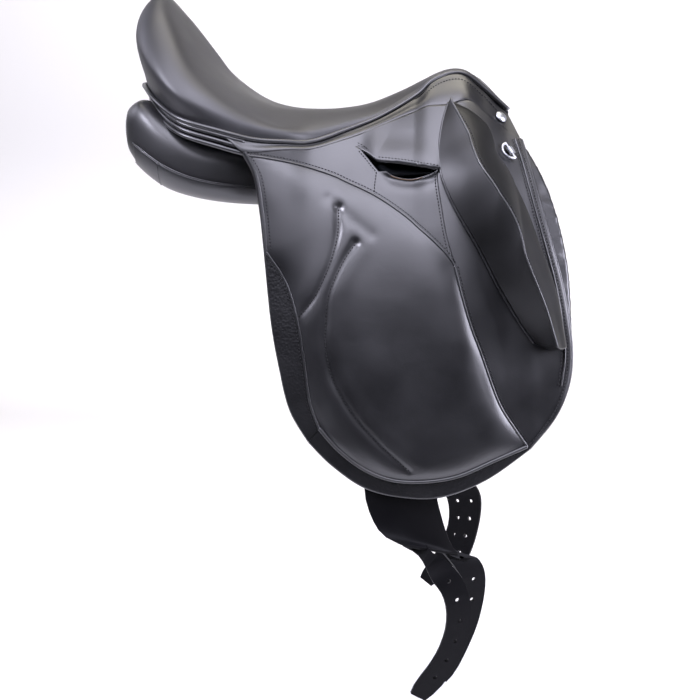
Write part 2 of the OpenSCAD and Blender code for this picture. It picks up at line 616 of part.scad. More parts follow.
// Outline of the thigh block, and its ridge as a share of its width
block_rear = [[141, 104], [135, 81], [132, 53], [134, 28], [144, 0], [160, -30], [180, -65], [197, -98],
              [213, -124], [228, -147], [241, -165]];
block_front = [[145, 105], [164, 95], [183, 77], [189, 60], [192, 44], [207, 20], [225, -14], [243, -57],
               [257, -92], [267, -124], [276, -172]];
block_foot = [[241, -165], [253, -171], [264, -174], [276, -172]];
block_top = [[141, 104], [143, 104.8], [145, 105]];
block_ridge = 0.56;
module thigh_block(side) {
  rows = 14;
  cols = 8;
  grid = patch(block_top, block_foot, block_rear, block_front, rows, cols);
  function across(u) =
    u < block_ridge ? 0.16 + 0.84 * pow(u / block_ridge, 1.1)
                    : 1 - 0.7 * pow((u - block_ridge) / (1 - block_ridge), 1.3);
  function down(v) = 0.16 + 0.84 * smooth(v / 0.7) - 0.1 * smooth((v - 0.8) / 0.2);
  face = [for (j = [0 : rows]) [for (i = [0 : cols])
    flap_at(grid[j][i], block_low + block_h * across(i / cols) * down(j / rows))]];
  color(leather) on_side(side) slab(face, lay(grid, block_low));
}

// Ring on its staple: x along the hinge, y to the rear, z out of the leather
ring_place = [211, seat_depth - 52];
ring_out = flap_normal(ring_place[0], ring_place[1]);
ring_way = unit(cross(ring_out, unit(cross([-0.34, 0, 0.94], ring_out))) * -1);
sleeve_r = ring_wire / 2 + 1.5;
ring_centre = flap_at(ring_place, facing_high + gap + sleeve_r + 0.3);
module at_ring(side) {
  on_side(side) framed(ring_centre, ring_way, cross(ring_out, ring_way)) children();
}

module ring(side) {
  color(bright) at_ring(side) {
    rotate_extrude(angle = 180, $fn = 64) translate([ring_r, 0]) circle(d = ring_wire, $fn = 24);
    translate([-ring_r, 0, 0]) rotate([0, 90, 0]) cylinder(d = ring_wire, h = 2 * ring_r, $fn = 24);
    for (x = [-ring_r, ring_r]) translate([x, 0, 0]) sphere(d = ring_wire, $fn = 24);
  }
}

// Sleeve round the ring's straight side, with a foot that is sewn under the leather
staple_len = 9;
staple_foot = 7;
staple_t = 1.4;
sleeve_gap = 0.3;
module ring_staple(side) {
  bore_d = ring_wire + 2 * sleeve_gap;
  color(bright) at_ring(side) difference() {
    union() {
      translate([-staple_len / 2, 0, 0]) rotate([0, 90, 0]) cylinder(r = sleeve_r, h = staple_len, $fn = 32);
      translate([-staple_len / 2, -staple_foot, -sleeve_r]) cube([staple_len, staple_foot, staple_t]);
    }
    translate([-staple_len, 0, 0]) rotate([0, 90, 0]) cylinder(d = bore_d, h = 2 * staple_len, $fn = 32);
  }
}

// Girth strap: hangs inside the flap, then turns as it leaves the hem.
// Rows give its rear and front edges; the top leans back to clear the stirrup bar.
strap_high = -gap - lining_t - gap;
strap_x = 92;
strap_top = 54;
strap_foot = -334;
strap_lean = 62;
function strap_row(z) =
  let (h = strap_high - billet_t / 2 - 3 * smooth((z + 120) / 60), lean = strap_lean * smooth((z + 90) / 140))
  [flap_at([strap_x - lean - girth_w / 2, z], h),
   flap_at([strap_x - lean + girth_w / 2 - lean * 0.65, z], h)];
strap_turn = [[[59, 213, -366], [142, 205, -372]], [[74, 219, -386], [151, 199, -400]],
              [[103, 225, -396], [160, 194, -414]]];
strap_levels = [strap_top, 0, -40, -100, -160, -220, -280, strap_foot];
strap_rows = concat([for (z = strap_levels) strap_row(z)], strap_turn);
function strap_side(rows, s, k) = along([for (r = rows) r[k]], s);
function strap_grid(rows, n, across, offset) =
  [for (j = [0 : n]) let (s = j / n, a = strap_side(rows, s, 0), b = strap_side(rows, s, 1),
    e = strap_side(rows, min(1, s + 0.02), 0) + strap_side(rows, min(1, s + 0.02), 1)
        - strap_side(rows, max(0, s - 0.02), 0) - strap_side(rows, max(0, s - 0.02), 1),
    o = unit(cross(b - a, e)))
    [for (i = [0 : across]) a + (b - a) * i / across + o * offset]];
module strap(rows, n, across) {
  slab(strap_grid(rows, n, across, billet_t / 2), strap_grid(rows, n, across, -billet_t / 2));
}

module girth_strap(side) {
  color(leather) on_side(side) strap(strap_rows, 22, 3);
}

// Billet tails: middle of the strap and the way across it, from the girth strap to the tip
rear_tail = [[[88, 234.4, -405], [0.3, -0.75, 0.5]], [[107, 233.5, -413], [0.4, -0.62, 0.67]],
             [[131, 231, -419], [0.62, -0.4, 0.68]], [[151, 230, -438], [0.86, -0.3, 0.4]],
             [[160, 228, -463], [0.92, -0.36, 0.05]], [[160, 226, -492], [0.92, -0.38, -0.1]],
             [[151, 225, -522], [0.88, -0.38, -0.26]], [[136, 224, -549], [0.84, -0.36, -0.4]],
             [[114, 223, -578], [0.78, -0.34, -0.52]]];
front_tail = [[[157, 191, -421], [0.62, -0.66, -0.42]], [[169, 187, -426], [0.75, -0.56, 0.35]],
              [[177, 184, -440], [0.88, -0.42, 0.2]], [[177, 182, -464], [0.92, -0.38, 0]],
              [[170, 181, -498], [0.9, -0.38, -0.2]], [[158, 180, -530], [0.88, -0.36, -0.3]],
              [[138, 179, -572], [0.84, -0.34, -0.42]]];
function tail_middle(tail, s) = along([for (t = tail) t[0]], s);
function tail_across(tail, s) = unit(along([for (t = tail) t[1]], s));
// Share of the tail where its tip starts to narrow
tip_start = 0.93;
function tail_rows(tail, rows) = [for (i = [0 : rows])
  let (s = i / rows, c = tail_middle(tail, s), w = tail_across(tail, s),
       h = billet_w / 2 * (s > tip_start ? 1 - 4.5 * (s - tip_start) : 1))
  [c - w * h, c + w * h]];
// Pairs of the length along a tail and the share of it
function tail_lengths(tail, n, i = 0, d = 0) =
  let (step = norm(tail_middle(tail, min((i + 1) / n, 1)) - tail_middle(tail, i / n)))
  i > n ? [] : concat([[d, i / n]], tail_lengths(tail, n, i + 1, d + step));
// Distance of the last hole from the tip
hole_end = 32;
module billet(tail) {
  rows = tail_rows(tail, 22);
  lengths = tail_lengths(tail, 60);
  last_hole = lengths[60][0] - hole_end;
  difference() {
    strap(rows, 22, 1);
    for (k = [0 : hole_count - 1]) {
      s = lookup(last_hole - k * hole_pitch, lengths);
      c = tail_middle(tail, s);
      w = tail_across(tail, s);
      e = tail_middle(tail, min(1, s + 0.02)) - tail_middle(tail, s - 0.02);
      o = unit(cross(w, e));
      framed(c - o * 2 * billet_t, w, cross(o, w)) cylinder(d = hole_d, h = 4 * billet_t, $fn = 32);
    }
  }
}

module rear_billet(side) {
  color(leather) on_side(side) billet(rear_tail);
}

module front_billet(side) {
  color(leather) on_side(side) billet(front_tail);
}

seat_cover();
seat_foam();
seat_welt();
cantle_roll();
skirt(-1);  // skirt_right
skirt(1);  // skirt_left
straining_webs();
girth_web();
tree_head();
tree_cantle();
tree_rail(-1);  // tree_rail_right
tree_rail(1);  // tree_rail_left
tree_wing(-1);  // tree_wing_right
tree_wing(1);  // tree_wing_left
gullet_plate();
saddle_nails();
panel(-1);  // panel_right
panel(1);  // panel_left
panel_gusset(-1);  // panel_gusset_right
panel_gusset(1);  // panel_gusset_left
gullet_lining();
stirrup_bar(-1);  // stirrup_bar_right
stirrup_bar(1);  // stirrup_bar_left
bar_rivets(-1);  // bar_rivets_right
bar_rivets(1);  // bar_rivets_left
catch_pin(-1);  // catch_pin_right
catch_pin(1);  // catch_pin_left
bar_catch(-1);  // bar_catch_right
bar_catch(1);  // bar_catch_left
flap(-1);  // flap_right
flap(1);  // flap_left
flap_lining(-1);  // flap_lining_right
flap_lining(1);  // flap_lining_left
upper_facing(-1);  // upper_facing_right
upper_facing(1);  // upper_facing_left
calf_panel(-1);  // calf_panel_right
calf_panel(1);  // calf_panel_left
grip_strip(-1);  // grip_strip_right
grip_strip(1);  // grip_strip_left
hem_strip(-1);  // hem_strip_right
hem_strip(1);  // hem_strip_left
front_facing(-1);  // front_facing_right
front_facing(1);  // front_facing_left
thigh_block(-1);  // thigh_block_right
thigh_block(1);  // thigh_block_left
ring_staple(-1);  // ring_staple_right
ring_staple(1);  // ring_staple_left
ring(-1);  // ring_right
ring(1);  // ring_left
girth_strap(-1);  // girth_strap_right
girth_strap(1);  // girth_strap_left
front_billet(-1);  // front_billet_right
front_billet(1);  // front_billet_left
rear_billet(-1);  // rear_billet_right
rear_billet(1);  // rear_billet_left
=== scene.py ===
"""Dressage saddle: leather, padding, piping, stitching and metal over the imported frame."""

import logging
import math
from collections.abc import Callable, Sequence
from dataclasses import dataclass, field
from enum import Enum

import bmesh
import bpy
from mathutils import Matrix, Vector, kdtree, noise


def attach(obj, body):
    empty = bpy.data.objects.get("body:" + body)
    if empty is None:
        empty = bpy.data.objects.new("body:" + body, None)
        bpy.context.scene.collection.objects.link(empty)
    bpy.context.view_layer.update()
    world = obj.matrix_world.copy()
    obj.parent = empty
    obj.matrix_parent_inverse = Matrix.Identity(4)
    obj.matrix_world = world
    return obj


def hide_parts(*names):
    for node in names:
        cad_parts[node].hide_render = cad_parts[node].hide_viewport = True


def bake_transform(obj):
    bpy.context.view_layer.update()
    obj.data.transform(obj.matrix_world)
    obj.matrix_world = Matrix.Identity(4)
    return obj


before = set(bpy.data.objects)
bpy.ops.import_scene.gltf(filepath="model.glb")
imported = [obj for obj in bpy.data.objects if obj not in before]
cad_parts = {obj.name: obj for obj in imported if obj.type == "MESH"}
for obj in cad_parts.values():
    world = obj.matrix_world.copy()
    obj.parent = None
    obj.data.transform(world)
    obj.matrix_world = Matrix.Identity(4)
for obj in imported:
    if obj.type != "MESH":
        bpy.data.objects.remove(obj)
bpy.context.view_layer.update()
LOG = logging.getLogger("saddle")
MM = 0.001
# steps for each point of a line that is walked along, and on each line that distances are taken from
FINE_STEPS = 30
TRACE_STEPS = 400
# vertices closer than this, in metres, are one
MERGE = 1e-5
Place = Callable[[float, float], Vector]
Line = Sequence[tuple[float, float]]


class Side(Enum):
    """The saddle's two sides, by the sign of y."""

    RIGHT = -1
    LEFT = 1

    @property
    def label(self) -> str:
        """The side's name in piece and node names."""
        return self.name.lower()

    def turn(self, p: Vector) -> Vector:
        """Moves a point of the left side to this side."""
        return Vector((p.x, self.value * p.y, p.z))


def along(points: Sequence[Vector], s: float) -> Vector:
    """Finds a place on a smooth curve through points.

    Args:
        points: the points that the curve passes.
        s: 0 at the first point and 1 at the last.

    Returns:
        The place on the curve.
    """
    n = len(points) - 1
    q = min(max(s, 0.0), 1.0) * n
    i = min(int(q), n - 1)
    t = q - i
    a, b, c, d = points[max(i - 1, 0)], points[i], points[i + 1], points[min(i + 2, n)]
    return 0.5 * (2 * b + (c - a) * t + (2 * a - 5 * b + 4 * c - d) * t * t
                  + (3 * b - a - 3 * c + d) * t ** 3)


def smooth(t: float) -> float:
    """Eases from 0 to 1 as t does."""
    c = min(max(t, 0.0), 1.0)
    return c * c * (3 - 2 * c)


def bell(d: float, width: float) -> float:
    """A bump of height 1 at d = 0 that has gone at about twice the width."""
    return math.exp(-(d / width) ** 2)


def flat(points: Line) -> list[Vector]:
    """Turns [x, z] pairs into vectors."""
    return [Vector(p) for p in points]


def shifted(points: Line, dx: float, dz: float) -> list[tuple[float, float]]:
    """Moves a line of [x, z] pairs."""
    return [(x + dx, z + dz) for x, z in points]


def sampled(points: Line, n: int) -> list[tuple[float, float]]:
    """Reads n + 1 [x, z] places off the smooth curve through a line."""
    line = flat(points)
    return [tuple(along(line, i / n)) for i in range(n + 1)]


def evenly(points: Line, n: int) -> list[tuple[float, float]]:
    """Reads n + 1 [x, z] places off the smooth curve through a line, at equal distances along it."""
    fine = flat(sampled(points, FINE_STEPS * len(points)))
    far = [0.0]
    for a, b in zip(fine, fine[1:]):
        far.append(far[-1] + (b - a).length)
    places, k = [], 0
    for i in range(n + 1):
        want = far[-1] * i / n
        while k < len(far) - 2 and far[k + 1] < want:
            k += 1
        places.append(tuple(fine[k].lerp(fine[k + 1], (want - far[k]) / max(far[k + 1] - far[k], 1e-9))))
    return places


def traced(*lines: Line, n: int = TRACE_STEPS) -> kdtree.KDTree:
    """Makes a search tree over finely sampled lines, n + 1 places on each."""
    places = [p for line in lines for p in evenly(line, n)]
    tree = kdtree.KDTree(len(places))
    for i, (x, z) in enumerate(places):
        tree.insert((x, z, 0.0), i)
    tree.balance()
    return tree


def nearest(p: Vector, line: kdtree.KDTree) -> float:
    """Distance of a flat point from a traced line."""
    return line.find((p.x, p.y, 0.0))[2]


@dataclass(frozen=True)
class SeatForm:
    """The seat's form: guides from the front end to the cantle, as shares of its sizes (mm)."""

    front: float = 155.0
    rear: float = 223.0
    depth: float = 100.0
    pommel: float = 50.0
    cantle: float = 147.0
    half: float = 169.0
    crown: float = 6.0
    spine: tuple = ((1.38, 0, 0.1), (1.17, 0, 0.76), (1, 0, 1), (0.85, 0, 0.96), (0.68, 0, 0.7),
                    (0.5, 0, 0.42), (0.27, 0, 0.12), (0.05, 0, 0), (-0.12, 0, 0.01), (-0.26, 0, 0.04),
                    (-0.4, 0, 0.1), (-0.5, 0, 0.2), (-0.58, 0, 0.32), (-0.64, 0, 0.44), (-0.67, 0, 0.5),
                    (-0.68, 0, 0.52))
    rim: tuple = ((1.38, 0.12, 0.09), (1.17, 0.14, 0.72), (1.02, 0.16, 1), (0.88, 0.18, 0.98),
                  (0.71, 0.21, 0.74), (0.57, 0.26, 0.5), (0.32, 0.33, 0.14), (0.08, 0.43, -0.06),
                  (-0.13, 0.56, -0.07), (-0.28, 0.7, -0.08), (-0.41, 0.8, 0), (-0.56, 0.86, 0.13),
                  (-0.71, 0.83, 0.31), (-0.83, 0.65, 0.57), (-0.93, 0.37, 0.83), (-0.965, 0, 0.97))
    side: tuple = ((1.38, 0.2, 0.07), (1.185, 0.21, 0.66), (1.04, 0.22, 0.98), (0.91, 0.26, 0.96),
                   (0.76, 0.33, 0.76), (0.64, 0.37, 0.48), (0.39, 0.47, 0.02), (0.13, 0.57, -0.24),
                   (-0.08, 0.7, -0.15), (-0.21, 0.82, -0.15), (-0.38, 0.93, -0.1), (-0.56, 1, 0.01),
                   (-0.77, 0.98, 0.16), (-0.925, 0.8, 0.37), (-1.045, 0.46, 0.6), (-1.085, 0, 0.75))
    edge: tuple = ((1.385, 0.235, 0.05), (1.19, 0.24, 0.58), (1.045, 0.255, 0.9), (0.92, 0.29, 0.92),
                   (0.78, 0.355, 0.74), (0.66, 0.41, 0.4), (0.39, 0.51, -0.1), (0.135, 0.61, -0.42),
                   (-0.075, 0.73, -0.23), (-0.205, 0.83, -0.23), (-0.37, 0.93, -0.21), (-0.54, 1, -0.14),
                   (-0.745, 0.94, -0.05), (-0.89, 0.72, 0.075), (-0.99, 0.4, 0.185), (-1.05, 0, 0.23))

    def guide(self, shares: tuple) -> list[Vector]:
        """Turns a guide's shares into points in mm."""
        return [Vector((s[0] * (self.front if s[0] > 0 else self.rear), s[1] * self.half,
                        self.depth + s[2] * (self.pommel if s[0] > 0 else self.cantle))) for s in shares]

    def on(self, shares: tuple, u: float) -> Vector:
        """Finds a place on a guide, which runs on to the other side at the cantle.

        Args:
            shares: the guide.
            u: 0 at the front end and 1 at the cantle.

        Returns:
            The place in mm.
        """
        points = self.guide(shares)
        n = len(points) - 1
        points.append(Vector((points[n - 1].x, -points[n - 1].y, points[n - 1].z)))
        q = min(max(u, 0.0), 1.0) * n
        i = min(int(q), n - 1)
        return along(points[max(i - 1, 0):i + 3], (q - i + min(i, 1)) / (2 + min(i, 1)))

    def out(self, u: float) -> Vector:
        """Level way out of the seat at u."""
        d = self.on(self.edge, u) - self.on(self.spine, u)
        return Vector((d.x, d.y, 0)).normalized()

    def at(self, u: float, v: float, depth: float = 0.0) -> Vector:
        """Finds a place of the seat's left half.

        Args:
            u: 0 at the front end and 1 at the cantle.
            v: 0 at the spine and 1 at the edge.
            depth: depth under the leather's face in mm.

        Returns:
            The place in mm.
        """
        c, r = self.on(self.spine, u), self.on(self.rim, u)
        o, w = self.out(u), smooth((u - 0.42) / 0.25)
        high = (c + r) / 2 + Vector((0, 0, self.crown * smooth((u - 0.25) / 0.3)))
        p = along([c, high, r, self.on(self.side, u), self.on(self.edge, u)], v)
        if not depth:
            return p
        down = Vector((0, 0, -1))
        d = along([down, down, (down - 0.45 * w * o).normalized(),
                   (Vector((0, 0, 0.5 * w - 1)) - w * o).normalized(),
                   (Vector((0, 0, 0.9 * w - 1)) - w * o).normalized()], v)
        return p + depth * d.normalized()

    def beside(self, u0: float, cantle: tuple[float, float], end: tuple[float, float],
               n: int) -> list[Vector]:
        """Points beside the seat's edge, from the left front round the cantle to the right front.

        Args:
            u0: place along the edge where the line starts on each side.
            cantle: level distance outside the edge and height over it at the cantle, in mm.
            end: the same at the line's two ends.
            n: steps on each side.

        Returns:
            The points in mm.
        """
        line = []
        for i in range(-n, n + 1):
            u, s = 1 - (1 - u0) * abs(i) / n, smooth(abs(i) / n)
            out, up = (c + (e - c) * s for c, e in zip(cantle, end))
            q = self.on(self.edge, u) + out * self.out(u) + Vector((0, 0, up))
            line.append(Vector((q.x, q.y if i < 0 else -q.y, q.z)))
        return line


SEAT = SeatForm()


@dataclass
class FlapField:
    """The curved face that the flap's leathers lie on: y over the middle plane at each x and z (mm)."""

    reach: float = 216.0
    fall: float = 150.0
    drop: float = 420.0
    bulge: float = 0.0006
    bulge_x: float = 60.0
    step: float = 2.0
    skirt: tuple = ((-94, 20), (-55, 14), (-15, 13), (25, 16), (65, 18), (100, 25), (140, 42), (168, 34),
                    (190, 34), (205, 31), (228, 32))
    low_x: int = -260
    high_x: int = 330
    last_guide: int = 13
    nose: tuple[float, float, float] = (90.0, -6.0, -40.0)
    table_y: list[float] = field(default_factory=list)
    table_z: list[float] = field(default_factory=list)
    table_w: list[float] = field(default_factory=list)

    def __post_init__(self) -> None:
        """Reads the seat's edge and the skirt's width into tables, one entry for each mm of x."""
        edge = SEAT.guide(SEAT.edge)
        rows = [tuple(edge[i]) for i in range(self.last_guide, -1, -1)]
        rows.append(tuple(e + n for e, n in zip(edge[0], self.nose)))
        for x in range(self.low_x, self.high_x):
            self.table_y.append(self.level(rows, x, 1))
            self.table_z.append(self.level(rows, x, 2))
            self.table_w.append(self.level(self.skirt, x, 1))

    @staticmethod
    def level(rows: Sequence[Sequence[float]], x: float, k: int) -> float:
        """Reads column k at x off a smooth curve through rows in the order of x."""
        n = len(rows) - 1
        c = min(max(x, rows[0][0]), rows[n][0])
        i = 0
        while i < n - 1 and c >= rows[i + 1][0]:
            i += 1
        h = rows[i + 1][0] - rows[i][0]
        t = (c - rows[i][0]) / h

        def slope(j: int) -> float:
            """Slope of the column at row j."""
            a, b = max(j - 1, 0), min(j + 1, n)
            return (rows[b][k] - rows[a][k]) / (rows[b][0] - rows[a][0])

        return ((2 * t ** 3 - 3 * t * t + 1) * rows[i][k] + (t ** 3 - 2 * t * t + t) * h * slope(i)
                + (3 * t * t - 2 * t ** 3) * rows[i + 1][k] + (t ** 3 - t * t) * h * slope(i + 1))

    def read(self, table: list[float], x: float) -> float:
        """Reads a table at x."""
        q = min(max(x - self.low_x, 0.0), len(table) - 1.001)
        i = int(q)
        return table[i] + (table[i + 1] - table[i]) * (q - i)

    def edge_z(self, x: float) -> float:
        """Height of the seat's edge."""
        return self.read(self.table_z, x)

    def top(self, x: float) -> float:
        """Height of the flap's upper edge."""
        return self.edge_z(x) - self.read(self.table_w, x)

    def y(self, x: float, z: float) -> float:
        """Distance of the face from the middle plane."""
        e = self.read(self.table_y, x)
        low = self.reach - self.bulge * (x - self.bulge_x) ** 2
        near = 1 - math.exp((z - self.edge_z(x)) / self.fall)
        return e + (low - e) * near / (1 - math.exp(-self.drop / self.fall))

    def normal(self, x: float, z: float) -> Vector:
        """Way out of the face."""
        h = self.step
        back, rise = self.y(x - h, z) - self.y(x + h, z), self.y(x, z - h) - self.y(x, z + h)
        return Vector((back, 2 * h, rise)).normalized()

    def at(self, x: float, z: float, height: float) -> Vector:
        """Place at a height over the face, in mm on the left side."""
        return Vector((x, self.y(x, z), z)) + height * self.normal(x, z)


FLAP = FlapField()
FLAP_REAR, FLAP_FRONT = -94.0, 228.0
HEM_REAR, HEM_FRONT = (-13.0, -277.0), (239.0, -285.0)
REAR_LINE = [(FLAP_REAR, FLAP.top(FLAP_REAR)), (-80, 25), (-72, -14), (-66, -60), (-57, -138), (-48, -188),
             (-35, -240), HEM_REAR]
HEM_LINE = [HEM_REAR, (14, -303), (52, -328), (95, -338), (140, -337), (190, -318), HEM_FRONT]
FRONT_LINE = [(FLAP_FRONT, FLAP.top(FLAP_FRONT)), (238, 33), (250, -10), (263, -55), (275, -98), (283, -140),
              (287, -180), (283, -215), (268, -250), HEM_FRONT]
LINING_LINE = [(FLAP_FRONT + 3, FLAP.top(FLAP_FRONT)), (247, 38), (264, 2), (277, -42), (285, -85),
               (288, -130), (289, -178), (285, -213), (269, -249), HEM_FRONT]
SEAM_CORNER, SEAM_FOOT = (151.0, -76.0), (236.0, -282.0)
DIAGONAL = [(-92, FLAP.top(-92) - 3), (-67, 44), (-37, 37), (5, 24), (24, 16), (64, -2), (104, -28),
            (140, -61), SEAM_CORNER]
FRONT_SEAM = [SEAM_CORNER, (160, -112), (170, -145), (182, -176), (202, -230), (222, -262), SEAM_FOOT]
STRIP_TIP, STRIP_FOOT = (-64.5, -61.0), (-1.0, -261.0)
STRIP_LINE = [STRIP_TIP, (-47, -86), (-36, -110), (-26, -146), (-19, -186), (-12, -231), STRIP_FOOT]
CALF_REAR = [DIAGONAL[0], (-79, 20), (-71, -16)] + STRIP_LINE
HEM_SEAM = [STRIP_FOOT, (21, -285), (51, -307), (84, -319), (121, -320), (157, -314), (196, -298),
            SEAM_FOOT]
DART_FRONT = [(38, -54), (26, -71), (16, -91), (8, -114), (6, -142), (6, -167), (14, -202), (36, -241),
              (66, -275), (103, -308)]
DART_REAR = [(17, -15), (17, -43), (12, -67), (4, -89), (-9, -114), (-27, -135)]
SLOT_LIP = [(34, 55), (43, 50.5), (52, 44), (61.6, 37.5), (88, 35.5), (112, 32.7), (130.5, 29.5)]
SLOT_ARC = [(127.5, 27.6), (119, 23.5), (101, 19), (82, 21.5), (71, 27.5)]
SLOT_EDGE = [(62.5, 27), (57, 33), (49.5, 41.5), (40.5, 51)]
FACING_EDGE = [(131, 27), (131.4, 13), (135.1, -9), (141.1, -42), (149.2, -72)]
FACING_HIGH, BLOCK_LOW = 6.8, 7.6


def top_line(x0: float, x1: float, lower: float, n: int = 24) -> list[tuple[float, float]]:
    """The flap's upper edge between two x, a little lower."""
    return [(x0 + (x1 - x0) * i / n, FLAP.top(x0 + (x1 - x0) * i / n) - lower) for i in range(n + 1)]


def patch(top: Line, bottom: Line, rear: Line, front: Line) -> Place:
    """Fills four edges that meet at their ends with a flat sheet.

    Args:
        top, bottom: the edges from rear to front.
        rear, front: the edges from top to bottom.

    Returns:
        A function of u (rear to front) and v (top to bottom) that gives [x, z].
    """
    t, b, r, f = flat(top), flat(bottom), flat(rear), flat(front)

    def spot(u: float, v: float) -> Vector:
        """Place in the sheet."""
        return ((1 - v) * along(t, u) + v * along(b, u) + (1 - u) * along(r, v) + u * along(f, v)
                - (1 - u) * (1 - v) * t[0] - u * (1 - v) * t[-1] - (1 - u) * v * b[0] - u * v * b[-1])

    return spot


def linear(code: str) -> tuple[float, float, float, float]:
    """Turns an sRGB hex colour into linear values."""
    parts = [int(code[i:i + 2], 16) / 255 for i in (1, 3, 5)]
    return tuple(c / 12.92 if c <= 0.04045 else ((c + 0.055) / 1.055) ** 2.4 for c in parts) + (1.0,)


def add(tree: bpy.types.NodeTree, kind: str, settings: dict | None = None, links: dict | None = None,
        values: dict | None = None) -> bpy.types.Node:
    """Adds a node.

    Args:
        tree: the material's or world's nodes.
        kind: the node's type name.
        settings: properties of the node.
        links: input name to the socket that feeds it.
        values: input name to its value.

    Returns:
        The node.
    """
    node = tree.nodes.new(kind)
    for key, value in (settings or {}).items():
        setattr(node, key, value)
    for key, value in (values or {}).items():
        node.inputs[key].default_value = value
    for key, socket in (links or {}).items():
        tree.links.new(socket, node.inputs[key])
    return node


def blank(name: str) -> tuple[bpy.types.Material, bpy.types.NodeTree, bpy.types.Node, bpy.types.NodeSocket]:
    """Makes a material, and gives it with its nodes, its shader and the object's own coordinates."""
    mat = bpy.data.materials.new(name)
    mat.use_nodes = True
    tree = mat.node_tree
    return mat, tree, tree.nodes["Principled BSDF"], add(tree, "ShaderNodeTexCoord").outputs["Object"]


@dataclass(frozen=True)
class Leather:
    """Dyed cowhide: black through the dye, a satin top coat, with hair-cell grain pressed or natural."""

    name: str
    colour: str
    worn: str
    rough: float
    grain_mm: float
    grain_height_mm: float
    crease_mm: float
    crease_height_mm: float
    coat: float
    shine: float = 0.5
    bloom_mm: float = 70.0

    def material(self) -> bpy.types.Material:
        """Builds the leather's nodes, or finds them if they are built.

        Returns:
            The material.
        """
        if self.name in bpy.data.materials:
            return bpy.data.materials[self.name]
        mat, tree, shader, place = blank(self.name)
        # handled leather keeps a slightly paler, duller bloom in patches of about this size
        bloom = add(tree, "ShaderNodeTexNoise", None, {"Vector": place},
                    {"Scale": 1000 / self.bloom_mm, "Detail": 3.0})
        tint = add(tree, "ShaderNodeMix", {"data_type": "RGBA"}, {"Factor": bloom.outputs["Fac"]})
        tint.inputs[6].default_value = linear(self.colour)
        tint.inputs[7].default_value = linear(self.worn)
        tree.links.new(tint.outputs[2], shader.inputs["Base Color"])
        gloss = add(tree, "ShaderNodeMapRange", None, {"Value": bloom.outputs["Fac"]},
                    {"From Min": 0.3, "From Max": 0.7, "To Min": self.rough - 0.05,
                     "To Max": self.rough + 0.06})
        tree.links.new(gloss.outputs["Result"], shader.inputs["Roughness"])
        # grain cells, and soft creases several times their size, drawn out along the hide
        cells = add(tree, "ShaderNodeTexVoronoi", {"feature": "SMOOTH_F1"}, {"Vector": place},
                    {"Scale": 1000 / self.grain_mm, "Smoothness": 0.6})
        grain = add(tree, "ShaderNodeBump", None, {"Height": cells.outputs["Distance"]},
                    {"Strength": 0.6, "Distance": self.grain_height_mm * MM})
        drawn = add(tree, "ShaderNodeMapping", None, {"Vector": place},
                    {"Rotation": (0.0, math.radians(18), 0.0), "Scale": (0.4, 1.0, 1.0)})
        folds = add(tree, "ShaderNodeTexNoise", None, {"Vector": drawn.outputs["Vector"]},
                    {"Scale": 1000 / self.crease_mm, "Detail": 5.0, "Roughness": 0.6, "Distortion": 0.8})
        bump = add(tree, "ShaderNodeBump", None,
                   {"Height": folds.outputs["Fac"], "Normal": grain.outputs["Normal"]},
                   {"Strength": 0.5, "Distance": self.crease_height_mm * MM})
        tree.links.new(bump.outputs["Normal"], shader.inputs["Normal"])
        shader.inputs["IOR"].default_value = 1.5
        shader.inputs["Specular IOR Level"].default_value = self.shine
        shader.inputs["Coat Weight"].default_value = self.coat
        shader.inputs["Coat Roughness"].default_value = 0.3
        return mat


@dataclass(frozen=True)
class Metal:
    """Plated or brushed steel: a grey reflector with fine rub marks."""

    name: str
    colour: str
    rough: float
    mark_mm: float = 1.2

    def material(self) -> bpy.types.Material:
        """Builds the metal's nodes, or finds them if they are built."""
        if self.name in bpy.data.materials:
            return bpy.data.materials[self.name]
        mat, tree, shader, place = blank(self.name)
        drawn = add(tree, "ShaderNodeMapping", None, {"Vector": place}, {"Scale": (0.15, 1.0, 1.0)})
        marks = add(tree, "ShaderNodeTexNoise", None, {"Vector": drawn.outputs["Vector"]},
                    {"Scale": 1000 / self.mark_mm, "Detail": 4.0})
        gloss = add(tree, "ShaderNodeMapRange", None, {"Value": marks.outputs["Fac"]},
                    {"To Min": self.rough - 0.06, "To Max": self.rough + 0.1})
        tree.links.new(gloss.outputs["Result"], shader.inputs["Roughness"])
        bump = add(tree, "ShaderNodeBump", None, {"Height": marks.outputs["Fac"]},
                   {"Strength": 0.15, "Distance": 0.02 * MM})
        tree.links.new(bump.outputs["Normal"], shader.inputs["Normal"])
        shader.inputs["Base Color"].default_value = linear(self.colour)
        shader.inputs["Metallic"].default_value = 1.0
        return mat


@dataclass(frozen=True)
class Cloth:
    """Woven or foamed stuff inside the saddle: dull, with its thread or cell size."""

    name: str
    colour: str
    shade: str
    thread_mm: float
    rough: float = 0.85

    def material(self) -> bpy.types.Material:
        """Builds the stuff's nodes, or finds them if they are built."""
        if self.name in bpy.data.materials:
            return bpy.data.materials[self.name]
        mat, tree, shader, place = blank(self.name)
        cells = add(tree, "ShaderNodeTexVoronoi", None, {"Vector": place}, {"Scale": 1000 / self.thread_mm})
        tint = add(tree, "ShaderNodeMix", {"data_type": "RGBA"}, {"Factor": cells.outputs["Distance"]})
        tint.inputs[6].default_value = linear(self.shade)
        tint.inputs[7].default_value = linear(self.colour)
        tree.links.new(tint.outputs[2], shader.inputs["Base Color"])
        bump = add(tree, "ShaderNodeBump", None, {"Height": cells.outputs["Distance"]},
                   {"Strength": 0.6, "Distance": 0.2 * self.thread_mm * MM})
        tree.links.new(bump.outputs["Normal"], shader.inputs["Normal"])
        shader.inputs["Roughness"].default_value = self.rough
        return mat


Finish = Leather | Metal | Cloth
